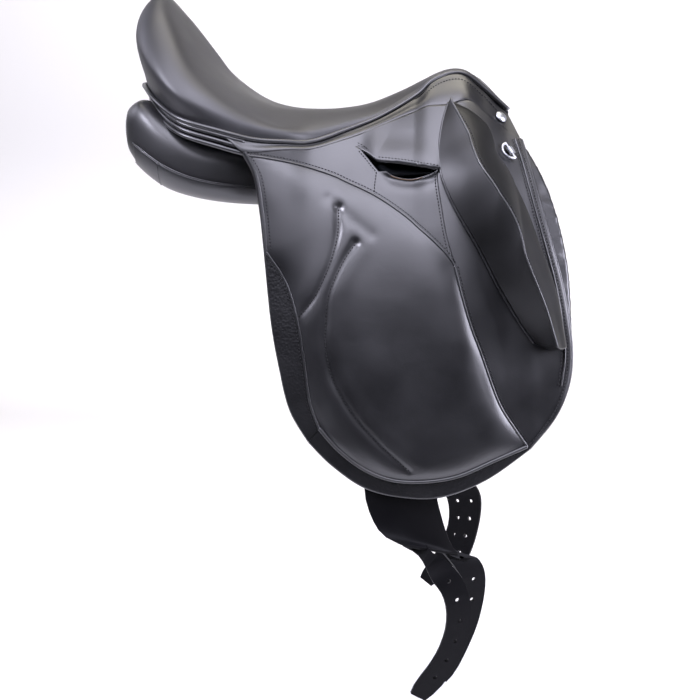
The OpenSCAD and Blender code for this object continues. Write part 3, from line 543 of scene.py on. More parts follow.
# smooth calf: close grain, satin, the large flap faces
CALF = Leather("smooth_calf", "#0b0b0d", "#161619", 0.36, 0.9, 0.04, 7.0, 0.14, 0.09, 1.0)
# seat hide: the same calf buffed dull, so that it only glows along its ridges
SEAT_HIDE = Leather("buffed_calf", "#111113", "#1c1c20", 0.52, 0.9, 0.03, 14.0, 0.08, 0.0, 1.0)
# block leather: polished, almost no grain
BLOCK = Leather("polished_calf", "#040404", "#0b0b0d", 0.40, 0.9, 0.012, 30.0, 0.05, 0.0, 0.53)
# grip leather: printed pebble grain, the dots about 3 mm apart
GRIP = Leather("pebble_grain", "#070709", "#111113", 0.42, 3.0, 0.55, 18.0, 0.1, 0.0, 0.49)
# bridle butt: waxed flesh and grain, the straps
STRAP = Leather("waxed_strap", "#040407", "#0d0d0f", 0.5, 1.2, 0.05, 22.0, 0.2, 0.0, 0.13)
# panel hide: soft, with more top coat, so that the bolster catches the light
PANEL = Leather("panel_hide", "#0d0d0f", "#161619", 0.46, 0.9, 0.03, 20.0, 0.15, 0.27, 1.0)
# piping: the calf rolled tight, so that each seam shows as a thin bright line
PIPING = Leather("rolled_piping", "#0b0b0d", "#151518", 0.38, 0.8, 0.03, 12.0, 0.1, 0.27, 1.0)
# undyed cut edge, where the hide's tan core shows
RAW_EDGE = Leather("cut_edge", "#4c3824", "#5d452c", 0.7, 0.6, 0.05, 8.0, 0.1, 0.0)
# waxed black thread, duller than the leather round it
THREAD = Cloth("waxed_thread", "#08080a", "#030304", 0.5, 0.7)
# what is inside: open foam cells, pale woven webbing and the dark moulded tree
FOAM = Cloth("seat_foam_cells", "#26272b", "#18191c", 1.6)
WEB = Cloth("tree_webbing", "#d9d4c6", "#b5ae9b", 1.2)
TREE = Cloth("moulded_tree", "#303030", "#242424", 0.9, 0.6)
# blued steel of the bars, and the bright plate of nails and rings
STEEL = Metal("blued_bar_steel", "#26282b", 0.5)
BRIGHT = Metal("nickel_plate", "#bfc1c5", 0.36)


class Bench:
    """Makes pieces out of meshes: gives them thickness, rounds them, dresses them and sets them on a body."""

    @staticmethod
    def grid(cols: int, rows: int, place: Place, outward: Vector | None = None) -> bmesh.types.BMesh:
        """Maps a plain grid onto a form.

        Args:
            cols, rows: cells along u and v.
            place: gives a point in mm for u and v from 0 to 1.
            outward: way that the middle faces must look, in row axes.

        Returns:
            The mapped mesh in metres.
        """
        bm = bmesh.new()
        bmesh.ops.create_grid(bm, x_segments=cols, y_segments=rows, size=0.5)
        for v in bm.verts:
            v.co = place(v.co.x + 0.5, v.co.y + 0.5) * MM
        bm.normal_update()
        if outward is not None:
            total = sum((f.normal * f.calc_area() for f in bm.faces), Vector())
            if total.dot(outward) < 0:
                bmesh.ops.reverse_faces(bm, faces=bm.faces[:])
        return bm

    @staticmethod
    def linked(name: str, bm: bmesh.types.BMesh) -> bpy.types.Object:
        """Puts a mesh, which is used up, into the scene as a smooth object."""
        mesh = bpy.data.meshes.new(name)
        bm.to_mesh(mesh)
        bm.free()
        mesh.polygons.foreach_set("use_smooth", [True] * len(mesh.polygons))
        obj = bpy.data.objects.new(name, mesh)
        bpy.context.scene.collection.objects.link(obj)
        return obj

    @staticmethod
    def piece(name: str, bm: bmesh.types.BMesh, body: str, finish: Finish, slot: str,
              nodes: Sequence[str] = (), thick: float = 0.0, bevel: float = 0.0, fill: float | None = None,
              levels: int = 0) -> bpy.types.Object:
        """Makes a dressed piece.

        Args:
            name: the piece's name.
            bm: its mesh, which is used up.
            body: the body that it rides on, or nothing for a piece that rides on none.
            finish: its finish.
            slot: the record's material slot.
            nodes: the solids that it stands for.
            thick: thickness given inwards, in mm.
            bevel: rounding of its edges, in mm.
            fill: how tightly a padded piece is filled; not used.
            levels: levels of subdivision.

        Returns:
            The piece.
        """
        obj = Bench.linked(name, bm)
        if thick:
            wall = obj.modifiers.new("wall", "SOLIDIFY")
            wall.thickness = thick * MM
            wall.offset = -1.0
        if bevel:
            edge = obj.modifiers.new("edge", "BEVEL")
            edge.width = bevel * MM
            edge.segments = 2
            edge.limit_method = "ANGLE"
            edge.angle_limit = math.radians(50)
        if levels:
            soft = obj.modifiers.new("soft", "SUBSURF")
            soft.levels = soft.render_levels = levels
        Bench.dress(obj, body, finish, slot, nodes)
        LOG.info("%s: %d faces", name, len(obj.data.polygons))
        return obj

    @staticmethod
    def dress(obj: bpy.types.Object, body: str, finish: Finish, slot: str,
              nodes: Sequence[str] = ()) -> None:
        """Gives a piece its finish and, when a body is named, its body."""
        obj.data.materials.clear()
        obj.data.materials.append(finish.material())
        if body:
            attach(obj, body)
        if nodes:
            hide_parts(*nodes)

    @staticmethod
    def tube(name: str, paths: Sequence[Sequence[Vector]], radius: float, body: str, finish: Finish,
             slot: str, nodes: Sequence[str] = (), sides: int = 3) -> bpy.types.Object:
        """Makes rolled piping along paths.

        Args:
            name: the piece's name.
            paths: lines of points in mm.
            radius: radius of the roll in mm.
            body, finish, slot, nodes: as for a piece.
            sides: smoothness of the roll.

        Returns:
            The piece.
        """
        curve = bpy.data.curves.new(name, "CURVE")
        curve.dimensions = "3D"
        curve.bevel_depth = radius * MM
        curve.bevel_resolution = sides
        curve.use_fill_caps = True
        for path in paths:
            spline = curve.splines.new("POLY")
            spline.points.add(len(path) - 1)
            for point, p in zip(spline.points, path):
                point.co = (*(p * MM), 1.0)
        rolled = bpy.data.objects.new(name + "_path", curve)
        bpy.context.scene.collection.objects.link(rolled)
        mesh = bpy.data.meshes.new_from_object(rolled.evaluated_get(bpy.context.evaluated_depsgraph_get()))
        bpy.data.objects.remove(rolled)
        bm = bmesh.new()
        bm.from_mesh(mesh)
        bpy.data.meshes.remove(mesh)
        bmesh.ops.remove_doubles(bm, verts=bm.verts[:], dist=1e-6)
        bmesh.ops.recalc_face_normals(bm, faces=bm.faces[:])
        return Bench.piece(name, bm, body, finish, slot, nodes)

    @staticmethod
    def stitches(name: str, runs: Sequence[Sequence[Vector]], body: str, slot: str,
                 pitch: float = 3.9) -> None:
        """Sews rows of stitches along lines.

        Args:
            name: the piece's name.
            runs: lines of points in mm, on the leather's face.
            body: the body that they ride on.
            slot: the record's material slot.
            pitch: length of a stitch with its gap, in mm.
        """
        bm = bmesh.new()
        # half sizes of a stitch: along it, across it and over the leather
        size = Matrix.Diagonal((0.36 * pitch * MM, 0.85 * MM, 0.6 * MM, 1.0))
        for run in runs:
            reach, want = 0.0, pitch / 2
            for a, b in zip(run, run[1:]):
                step = b - a
                while step.length > 0 and want <= reach + step.length:
                    spot = a + step * ((want - reach) / step.length)
                    turn = step.to_track_quat("X", "Z").to_matrix().to_4x4()
                    bmesh.ops.create_icosphere(bm, subdivisions=1, radius=1.0,
                                               matrix=Matrix.Translation(spot * MM) @ turn @ size)
                    want += pitch
                reach += step.length
        Bench.piece(name, bm, body, THREAD, slot)

    @staticmethod
    def refined(node: str, body: str, finish: Finish, slot: str, bevel: float) -> bpy.types.Object:
        """Makes a piece from a merged copy of a solid, with rounded edges."""
        bm = bmesh.new()
        bm.from_mesh(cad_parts[node].data)
        bmesh.ops.remove_doubles(bm, verts=bm.verts[:], dist=MERGE)
        bmesh.ops.dissolve_limit(bm, angle_limit=math.radians(1), verts=bm.verts[:], edges=bm.edges[:])
        return Bench.piece(node + "_leather", bm, body, finish, slot, [node], bevel=bevel)


@dataclass
class Seat:
    """The dished seat with its welt, cantle piping and skirts."""

    body: str = "saddle"
    cover_t: float = 2.5
    cover_edge: float = 0.8
    cover_fill: float = 0.8
    welt_r: float = 3.0
    roll_r: float = 2.7
    roll_start: float = 0.684
    inner_edge: float = 0.4
    skirt_t: float = 3.0
    skirt_gap: float = 5.5
    skirt_tail: float = -116.0
    skirt_nose: float = 226.5
    nose_bend: float = 211.0
    nose_fall: float = 1.4
    nail_x: float = 198.0
    stitch_x: float = 60.0
    stitch_drop: float = 6.0

    def build(self) -> None:
        """Builds the seat's pieces."""
        self.cover()
        self.welts()
        for side in Side:
            self.skirt(side)
        for node, finish, slot in (("seat_foam", FOAM, "foam"), ("straining_webs", WEB, "webbing"),
                                   ("girth_web", WEB, "webbing")):
            Bench.refined(node, self.body, finish, slot, self.inner_edge)

    def cover(self) -> None:
        """The seat leather, one skin drawn over the foam."""
        def place(a: float, u: float) -> Vector:
            """Place on the skin, with a across it from left to right."""
            p = SEAT.at(u, abs(2 * a - 1))
            return Vector((p.x, p.y if a < 0.5 else -p.y, p.z))

        bm = Bench.grid(112, 120, place, Vector((0, 0, 1)))
        bmesh.ops.remove_doubles(bm, verts=bm.verts[:], dist=2 * MERGE)
        Bench.piece("seat_leather", bm, self.body, SEAT_HIDE, "calf_leather", ["seat_cover"], self.cover_t,
                    self.cover_edge, self.cover_fill)

    def welts(self) -> None:
        """The welt round the seat and the stacked piping behind the cantle."""
        beside = (self.welt_r + 0.4, -1.5)
        Bench.tube("seat_piping", [SEAT.beside(0, beside, beside, 110)], self.welt_r, self.body, PIPING,
                   "grained_leather", ["seat_welt"])
        # the rolls part towards the flap's rear corner, where the lowest one meets its edge
        rolls = []
        for k in range(3):
            cantle, end = (-2.4 - 1.4 * k, -5.2 - 5.4 * k), (3.5 + 2.3 * k, -6.5 - 6.5 * k)
            rolls.append(SEAT.beside(self.roll_start, cantle, end, 64))
        Bench.tube("cantle_piping", rolls, self.roll_r, self.body, PIPING, "grained_leather", ["cantle_roll"])

    def clear(self, x: float) -> float:
        """Height of the seat's edge over the skirt."""
        return self.skirt_gap * (1 + ((FLAP.edge_z(x + 1) - FLAP.edge_z(x - 1)) / 2) ** 2)

    def skirt_spot(self, u: float, v: float) -> tuple[float, float]:
        """Flat place in the skirt."""
        x = self.skirt_tail + (self.skirt_nose - self.skirt_tail) * u
        high = FLAP.edge_z(x) - self.clear(x) - self.nose_fall * max(0.0, x - self.nose_bend)
        low = FLAP.top(max(x, FLAP_REAR)) + FLAP.edge_z(x) - FLAP.edge_z(max(x, FLAP_REAR)) + 0.3
        taper = 0.12 + 0.88 * smooth((x - self.skirt_tail) / (FLAP_REAR - self.skirt_tail))
        return x, high + (low - high) * taper * v

    def skirt(self, side: Side) -> None:
        """The leather band between the welt and the flap, with its row of stitches."""
        def place(u: float, v: float) -> Vector:
            """Place on the band's face, which rises to the flap's face."""
            x, z = self.skirt_spot(u, v)
            rise = smooth(v * 1.2) * smooth((x + 120) / 24) * smooth((185 - x) / 30)
            return side.turn(FLAP.at(x, z, self.skirt_t + (FACING_HIGH - self.skirt_t) * rise))

        bm = Bench.grid(120, 10, place, Vector((0, side.value, 0.5)))
        Bench.piece("skirt_leather_" + side.label, bm, self.body, CALF, "grained_leather",
                    ["skirt_" + side.label], self.skirt_t, 0.3)
        run = []
        for i in range(120):
            x = self.stitch_x + (self.nail_x - self.stitch_x) * i / 119
            z = FLAP.edge_z(x) - self.clear(x) - self.stitch_drop
            run.append(side.turn(FLAP.at(x, z, self.skirt_t + 0.6)))
        Bench.stitches("skirt_stitches_" + side.label, [run], self.body, "grained_leather")


@dataclass
class Flap:
    """One flap: base leather, lining, facings, calf panel, strips, thigh block, piping and stitches."""

    side: Side
    flap_t: float = 4.0
    lining_t: float = 2.6
    facing_t: float = 2.0
    calf_t: float = 2.2
    calf_crown: float = 7.0
    calf_fill: float = 0.7
    border_swell: float = 14.0
    dart_depth: float = 1.7
    dip_depth: float = 4.2
    lip_lift: float = 5.5
    seam_gap: float = 0.8
    block_fill: float = 0.9
    block_h: float = 44.0
    block_rear: tuple = ((141, 104), (135, 81), (132, 53), (134, 28), (144, 0), (160, -30), (180, -65),
                         (197, -98), (213, -124), (228, -147), (241, -165))
    block_front: tuple = ((145, 105), (164, 95), (183, 77), (189, 60), (192, 44), (207, 20), (225, -14),
                          (243, -57), (257, -92), (267, -124), (276, -172))
    block_foot: tuple = ((241, -165), (253, -171), (264, -174), (276, -172))
    block_top: tuple = ((141, 104), (143, 104.8), (145, 105))
    ridge: float = 0.56

    def __post_init__(self) -> None:
        """Traces the lines that the leathers' heights follow."""
        self.arc = traced(SLOT_ARC)
        self.lip = traced(SLOT_LIP)
        self.borders = [traced(line) for line in (DIAGONAL, HEM_SEAM, CALF_REAR, FRONT_SEAM)]
        self.darts = [traced(DART_FRONT), traced(DART_REAR)]
        self.fold = traced([(6, -4), (20, -16), (36, -30), (56, -44)])

    @property
    def body(self) -> str:
        """The body that the flap's pieces ride on."""
        return self.side.label + "_flap"

    def build(self) -> None:
        """Builds the flap's pieces."""
        self.base()
        self.facings()
        self.calf()
        self.strips()
        self.block()
        self.piping()
        self.sewing()

    def sheet(self, name: str, spot: Place, height: Callable[[Vector], float], cols: int, rows: int,
              finish: Leather, slot: str, node: str, thick: float, fill: float | None = None,
              slot_cut: bool = False) -> None:
        """Lays a leather on the flap's face.

        Args:
            name: the piece's name without its side.
            spot: flat place for u and v.
            height: height of the leather's face over the flap's inner face, in mm, at a flat place.
            cols, rows: cells.
            finish, slot, node: as for a piece, the node without its side.
            thick: thickness in mm.
            fill: how tightly a padded piece is filled.
            slot_cut: whether the stirrup slot goes through it.
        """
        def place(u: float, v: float) -> Vector:
            """Place on the leather's face."""
            q = spot(u, v)
            return self.side.turn(FLAP.at(q.x, q.y, height(q)))

        bm = Bench.grid(cols, rows, place, Vector((0, self.side.value, 0.2)))
        edge = 0.0 if slot_cut else min(0.7, thick / 3)
        label = self.side.label
        obj = Bench.piece(f"{name}_{label}", bm, self.body, finish, slot, [f"{node}_{label}"], thick, edge,
                          fill)
        if slot_cut:
            self.open_slot(obj)

    def open_slot(self, obj: bpy.types.Object) -> None:
        """Cuts the stirrup slot through a leather."""
        bm = bmesh.new()
        line = [FLAP.at(x, z, FACING_HIGH) for x, z in SLOT_LIP + sampled(SLOT_ARC, 24) + SLOT_EDGE]
        ring = [bm.verts.new((q.x * MM, self.side.value * 0.06, q.z * MM)) for q in line]
        face = bm.faces.new(ring)
        wall = bmesh.ops.extrude_face_region(bm, geom=[face])
        moved = [g for g in wall["geom"] if isinstance(g, bmesh.types.BMVert)]
        bmesh.ops.translate(bm, verts=moved, vec=(0, self.side.value * 0.2, 0))
        bmesh.ops.recalc_face_normals(bm, faces=bm.faces[:])
        mesh = bpy.data.meshes.new("slot_cutter")
        bm.to_mesh(mesh)
        bm.free()
        cutter = bpy.data.objects.new("slot_cutter", mesh)
        bpy.context.scene.collection.objects.link(cutter)
        cut = obj.modifiers.new("slot", "BOOLEAN")
        cut.operation = "DIFFERENCE"
        cut.object = cutter
        cut.solver = "EXACT"
        done = bpy.data.meshes.new_from_object(obj.evaluated_get(bpy.context.evaluated_depsgraph_get()))
        obj.modifiers.clear()
        old, obj.data = obj.data, done
        bpy.data.meshes.remove(old)
        bpy.data.objects.remove(cutter)
        bpy.data.meshes.remove(mesh)

    def dip(self, q: Vector) -> float:
        """How far the leather is pressed in below the slot."""
        d = nearest(q, self.arc)
        below = smooth((24 + 0.004 * (q.x - 100) ** 2 - q.y) / 6)
        return self.dip_depth * bell(d, 9) * below * smooth((q.x - 60) / 16) * smooth((136 - q.x) / 12)

    def base(self) -> None:
        """The flap's base leather and its lining, which shows as a soft strip in front."""
        whole = patch(top_line(FLAP_REAR, FLAP_FRONT, 0), HEM_LINE, REAR_LINE, FRONT_LINE)
        self.sheet("flap_leather", whole, lambda q: self.flap_t - self.dip(q), 76, 84, GRIP,
                   "grained_leather", "flap", self.flap_t, slot_cut=True)
        lining = patch(top_line(FLAP_REAR, FLAP_FRONT + 3, 0), HEM_LINE, REAR_LINE, LINING_LINE)

        def soft(q: Vector) -> float:
            """Height of the lining, puckered where it stands out in front."""
            ahead = smooth((q.x - 150) / 60) * smooth((q.y + 190) / 60)
            return -0.8 + ahead * 1.6 * noise.noise(Vector((q.x * 0.05, q.y * 0.22, 3.0)))

        self.sheet("flap_lining_leather", lining, lambda q: soft(q) - self.dip(q), 84, 120, CALF,
                   "grained_leather", "flap_lining", self.lining_t, slot_cut=True)

    def facings(self) -> None:
        """The smooth leather round the stirrup bar, with its lifted lip, and the leather under the block."""
        bottom = evenly(shifted(DIAGONAL, 0, self.seam_gap), 32)
        top = evenly(top_line(-92, 150, 0.2), 32)
        fore = [top[-1], (150, 70), (142, 46)] + FACING_EDGE[:-1] + [bottom[-1]]
        upper = patch(top, bottom, [top[0], bottom[0]], evenly(fore, 32))

        def lifted(q: Vector) -> float:
            """Height of the leather, which the bar under it lifts above the slot."""
            edge = FlapField.level(SLOT_LIP, q.x, 1)
            over = smooth((q.y - edge + 2) / 2) * smooth((q.x - 36) / 24) * smooth((150 - q.x) / 24)
            return (FACING_HIGH + self.lip_lift * over * bell(nearest(q, self.lip), 26) - self.dip(q)
                    + 0.5 * noise.noise(Vector((q.x * 0.03, q.y * 0.04, 1.0))))

        self.sheet("bar_facing", upper, lifted, 150, 84, CALF, "calf_leather", "upper_facing", self.facing_t,
                   slot_cut=True)
        line = top_line(151, FLAP_FRONT - 0.5, 0.2)
        rear = [line[0], (151, 70), (143, 46)] + shifted(FACING_EDGE[:-1] + FRONT_SEAM, self.seam_gap, 0)
        fore = [line[-1]] + shifted(FRONT_LINE[1:9], -0.5, 0) + [(HEM_FRONT[0] - 0.5, HEM_FRONT[1] + 3)]

        def waved(q: Vector) -> float:
            """Height of the leather, which lies in slow waves."""
            return FACING_HIGH - 0.9 + 0.6 * noise.noise(Vector((q.x * 0.04, q.y * 0.02, 5.0)))

        front = patch(line, [rear[-1], fore[-1]], evenly(rear, 48), evenly(fore, 48))
        self.sheet("front_leather", front, waved, 40, 110, CALF, "grained_leather", "front_facing",
                   self.facing_t)

    def calf_height(self, q: Vector) -> float:
        """Height of the calf panel's padded face at a flat place, with its darts, folds and rolled edge."""
        inside = [nearest(q, border) for border in self.borders]
        keep = smooth(min(inside) / 10)
        swell = math.prod(1 - math.exp(-d / self.border_swell) for d in inside)
        h = FACING_HIGH + 0.2 + self.calf_crown * swell
        for line, tree in zip((DART_FRONT, DART_REAR), self.darts):
            _, index, far = tree.find((q.x, q.y, 0.0))
            low = index / TRACE_STEPS
            # a dart is widest and deepest at its top, and its sides swell
            h -= self.dart_depth * (1 - 0.5 * low) * keep * bell(far, 5.2 - 2.0 * low)
            h += 0.7 * keep * bell(far - 13, 9)
            h -= 0.9 * bell((q - Vector(line[0])).length, 5)
        h -= 1.3 * bell(nearest(q, self.fold), 7)
        return h + 1.0 * keep * noise.noise(Vector((q.x * 0.014, q.y * 0.018, 2.0)))

    def calf(self) -> None:
        """The padded calf panel with its two sewn darts and the soft folds round them."""
        gap = self.seam_gap
        spot = patch(shifted(DIAGONAL, 0, -gap), shifted(HEM_SEAM, 0, gap), shifted(CALF_REAR, gap, 0),
                     shifted(FRONT_SEAM, -gap, 0))
        self.sheet("calf_cushion", spot, self.calf_height, 180, 200, CALF, "calf_leather", "calf_panel",
                   self.calf_t, fill=self.calf_fill)

    def strips(self) -> None:
        """The pebble-grained strips along the rear edge and the hem."""
        gap = self.seam_gap
        rear = [(STRIP_TIP[0] - 1, STRIP_TIP[1] - 1)] + REAR_LINE[4:]
        grip = patch([rear[0], (STRIP_TIP[0] - 0.6, STRIP_TIP[1] - 0.6)],
                     [HEM_REAR, (STRIP_FOOT[0] - gap, STRIP_FOOT[1])], rear, shifted(STRIP_LINE, -gap, -gap))
        low = shifted(HEM_LINE, gap, 0.2)
        high = shifted(HEM_SEAM, 0.6, -gap) + [(low[-1][0] - 1, low[-1][1] + 1)]
        hem = patch(high, low, [high[0], low[0]], [high[-1], low[-1]])
        for base, spot, cols, rows in (("grip", grip, 12, 90), ("hem", hem, 110, 10)):
            self.sheet(base + "_leather", spot, lambda q: FACING_HIGH, cols, rows, GRIP, "grained_leather",
                       base + "_strip", self.facing_t)

    def ridge_at(self, v: float) -> float:
        """Share across the block where its ridge runs."""
        return self.ridge - 0.14 * v

    def block_height(self, u: float, v: float) -> float:
        """Height of the block's face over the flap's inner face, at shares across and down."""
        r = self.ridge_at(v)
        across = 0.16 + 0.84 * (u / r) ** 1.1 if u < r else 1 - 0.7 * ((u - r) / (1 - r)) ** 1.1
        down = 0.16 + 0.84 * smooth(v / 0.7) - 0.1 * smooth((v - 0.8) / 0.2)
        return BLOCK_LOW + self.block_h * across * down

    def block_spot(self) -> Place:
        """Flat places in the block's outline."""
        return patch(self.block_top, self.block_foot, self.block_rear, self.block_front)

    def block(self) -> None:
        """The thigh block: a closed padded leaf whose walls turn in to the flap."""
        spot = self.block_spot()

        def place(u: float, v: float) -> Vector:
            """Place on the leaf, whose outer tenth on each side is its wall."""
            a, b = min(max((u - 0.08) / 0.84, 0), 1), min(max((v - 0.03) / 0.92, 0), 1)
            q = spot(a, b)
            h = self.block_height(a, b)
            wall = min(smooth(u / 0.08), smooth((1 - u) / 0.08), smooth(v / 0.03), smooth((1 - v) / 0.05))
            return self.side.turn(FLAP.at(q.x, q.y, BLOCK_LOW + (h - BLOCK_LOW) * wall))

        bm = Bench.grid(70, 120, place, Vector((0, self.side.value, 0.2)))
        rim = [e for e in bm.edges if e.is_boundary]
        bmesh.ops.holes_fill(bm, edges=rim, sides=0)
        bmesh.ops.recalc_face_normals(bm, faces=bm.faces[:])
        Bench.piece("block_cushion_" + self.side.label, bm, self.body, BLOCK, "grained_leather",
                    ["thigh_block_" + self.side.label], fill=self.block_fill)

    def on_face(self, line: Line, height: float, n: int = 90) -> list[Vector]:
        """Points of a flat line on the flap, at a height over its inner face."""
        return [self.side.turn(FLAP.at(x, z, height)) for x, z in sampled(line, n)]

    def on_calf(self, line: Line) -> list[Vector]:
        """Points of a flat line on the calf panel's padded face."""
        places = ((x, z, self.calf_height(Vector((x, z))) + 0.4) for x, z in evenly(line, 90))
        return [self.side.turn(FLAP.at(*place)) for place in places]

    def on_ridge(self, beside: float, lift: float, v0: float = 0.0, n: int = 80) -> list[Vector]:
        """Points down the block beside its ridge, from a share v0 of its length."""
        spot, line = self.block_spot(), []
        for i in range(n + 1):
            v = v0 + (1 - v0) * i / n
            u = self.ridge_at(v) + beside
            q = spot(u, v)
            line.append(self.side.turn(FLAP.at(q.x, q.y, self.block_height(u, v) + lift)))
        return line

    def piping(self) -> None:
        """Rolled edges along the seams, the block's ridge and its foot, and the slot's cut edge."""
        high, thin = FACING_HIGH, 3.4
        seams = [self.on_face(line, high + 0.3) for line in (DIAGONAL, FRONT_SEAM, STRIP_LINE)]
        foot = [self.on_face(line, BLOCK_LOW + 0.9) for line in (self.block_rear, self.block_front)]
        edges = [self.on_face(line, thin) for line in (REAR_LINE, HEM_LINE, shifted(FRONT_LINE, 0.4, 0))]
        rear_roll = self.on_face(shifted(REAR_LINE[:4], 1.2, 0), high - 1.0)
        binding = self.on_face(shifted(FRONT_LINE[:8], -8.5, 0), high - 0.2)
        grained, calf = "grained_leather", "calf_leather"
        rolls = (("seam_piping", seams, 1.5, PIPING, grained),
                 ("hem_piping", [self.on_face(HEM_SEAM, high + 0.6)], 2.3, PIPING, grained),
                 ("rear_roll", [rear_roll], 3.0, CALF, calf),
                 ("front_binding", [binding], 1.2, PIPING, grained),
                 ("block_piping", foot + [self.on_ridge(0.0, 0.0)], 1.3, PIPING, grained),
                 ("flap_edge_piping", edges, 2.0, PIPING, grained),
                 ("slot_cut_edge", [self.on_face(SLOT_ARC, high - 2.2, 30)], 0.6, RAW_EDGE, calf))
        for base, lines, radius, finish, slot in rolls:
            Bench.tube(f"{base}_{self.side.label}", lines, radius, self.body, finish, slot)

    def sewing(self) -> None:
        """The rows of stitches beside the seams and edges and in the darts."""
        face = FACING_HIGH + 0.35
        slot_foot = [(62.5, 22), (61.3, 11), (61.7, -1)]
        runs = [self.on_face(shifted(DIAGONAL, 1.2, 3.4), face),
                self.on_face(shifted(FRONT_SEAM, 3.6, 0.4), face),
                self.on_face(shifted(STRIP_LINE, -3.6, -1.2), face),
                self.on_face(shifted(HEM_SEAM, 0.6, -3.8), face),
                self.on_calf(shifted(REAR_LINE[:4], 6.5, -1)),
                self.on_calf(DART_FRONT),
                self.on_calf(DART_REAR),
                self.on_face(shifted(FRONT_LINE, -5, 0), face),
                self.on_face(shifted(FRONT_LINE[:8], -12, 0), face),
                self.on_face(shifted(SLOT_LIP[3:], 0, 3.2), FACING_HIGH + 5.6, 30),
                self.on_face(shifted(SLOT_LIP[:4], 1.5, 3), FACING_HIGH + 3, 20),
                self.on_face(shifted(SLOT_EDGE[::-1] + slot_foot, -3, -0.5), face, 40),
                self.on_face(shifted(FACING_EDGE, -2.6, 0), face, 40),
                self.on_ridge(0.045, 0.2, 0.03)]
        Bench.stitches("flap_stitches_" + self.side.label, runs, self.body, "grained_leather")


@dataclass
class Panel:
    """One flocked panel with its gusset seams."""

    side: Side
    channel_half: float = 34.0
    body: str = "saddle"
    round_out: float = 0.62
    round_up: float = 0.68
    fill: float = 0.7
    gusset_rear: float = -228.0
    gusset_length: float = 158.0
    gusset_t: float = 2.0
    seam_r: float = 0.9
    seam_top: float = -11.0
    seam_low: float = -64.0
    cross_seam_x: float = -196.0

    @property
    def rows(self) -> list[tuple[float, ...]]:
        """Rows of x, inner side, outer side, bottom and top in mm."""
        c = self.channel_half
        return [(-243, c + 40, 104, 68, 92), (-238, c + 24, 120, 51, 104), (-220, c + 8, 140, 30, 113),
                (-190, c + 1, 155, 10, 95), (-155, c, 160, -1, 74), (-112, c, 150, -8, 62),
                (-60, c, 124, -11, 54.9), (0, c, 100, -11, 53.4), (70, c + 2, 80, -9, 46),
                (130, c + 6, 74, -6, 40), (180, c + 10, 70, 0, 36), (192, c + 18, 62, 10, 28)]

    def ring(self, x: float, angle: float, out: float = 0.0) -> Vector:
        """Place on the panel's skin, at an angle round its section."""
        y0, y1, z0, z1 = (FlapField.level(self.rows, x, k) for k in (1, 2, 3, 4))
        c, s = math.cos(angle), math.sin(angle)
        y = (y0 + y1) / 2 + math.copysign(abs(c) ** self.round_out, c) * ((y1 - y0) / 2 + out)
        z = (z0 + z1) / 2 + math.copysign(abs(s) ** self.round_up, s) * ((z1 - z0) / 2 + out)
        return self.side.turn(Vector((x, y, z)))

    def build(self) -> None:
        """Builds the panel, its gusset and its seams."""
        rear, front = self.rows[0][0], self.rows[-1][0]

        def place(u: float, v: float) -> Vector:
            """Place on the bolster, closer together at its two ends."""
            x = rear + (front - rear) * (0.5 - 0.5 * math.cos(math.pi * v))
            return self.ring(x, 2 * math.pi * u)

        bm = Bench.grid(56, 110, place)
        bmesh.ops.remove_doubles(bm, verts=bm.verts[:], dist=MERGE)
        bmesh.ops.holes_fill(bm, edges=[e for e in bm.edges if e.is_boundary], sides=0)
        bmesh.ops.recalc_face_normals(bm, faces=bm.faces[:])
        Bench.piece("panel_cushion_" + self.side.label, bm, self.body, PANEL, "panel_leather",
                    ["panel_" + self.side.label], fill=self.fill, levels=1)

        def gusset(u: float, v: float) -> Vector:
            """Place on the gusset let into the panel's lower rear."""
            return self.ring(self.gusset_rear + self.gusset_length * u, math.radians(-12 - 50 * v), 2.8)

        bm = Bench.grid(60, 14, gusset, Vector((0, self.side.value, -0.5)))
        Bench.piece("gusset_leather_" + self.side.label, bm, self.body, PANEL, "panel_leather",
                    ["panel_gusset_" + self.side.label], self.gusset_t, 0.6)
        # the long seams start 1 mm behind the gusset
        along_x = [self.gusset_rear - 1 + (self.gusset_length + 1) * i / 70 for i in range(71)]
        seams = [[self.ring(x, math.radians(angle), 1.6) for x in along_x]
                 for angle in (self.seam_top, self.seam_low)]
        turn = self.seam_low - self.seam_top
        seams.append([self.ring(self.cross_seam_x, math.radians(self.seam_top + turn * i / 12), 2.6)
                      for i in range(13)])
        Bench.tube("panel_piping_" + self.side.label, seams, self.seam_r, self.body, PIPING, "panel_leather")


@dataclass(frozen=True)
class Tuck:
    """How a billet's start bends up behind the girth strap's lip, in mm on the left side."""

    move: tuple[float, float, float]
    front: float
    length: float
    start: tuple[float, float, float]
    end: tuple[float, float, float]
    foot: float = -440.0

    def bend(self, strap: bpy.types.Object, side: Side, body: str) -> None:
        """Moves the start of a strap, easing the move out along its length.

        Args:
            strap: the billet's piece.
            side: its side.
            body: not used.
        """
        move = side.turn(Vector(self.move)) * MM
        for v in strap.data.vertices:
            if v.co.z > self.foot * MM:
                v.co += move * smooth((self.front * MM - v.co.x) / (self.length * MM))
        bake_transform(strap)


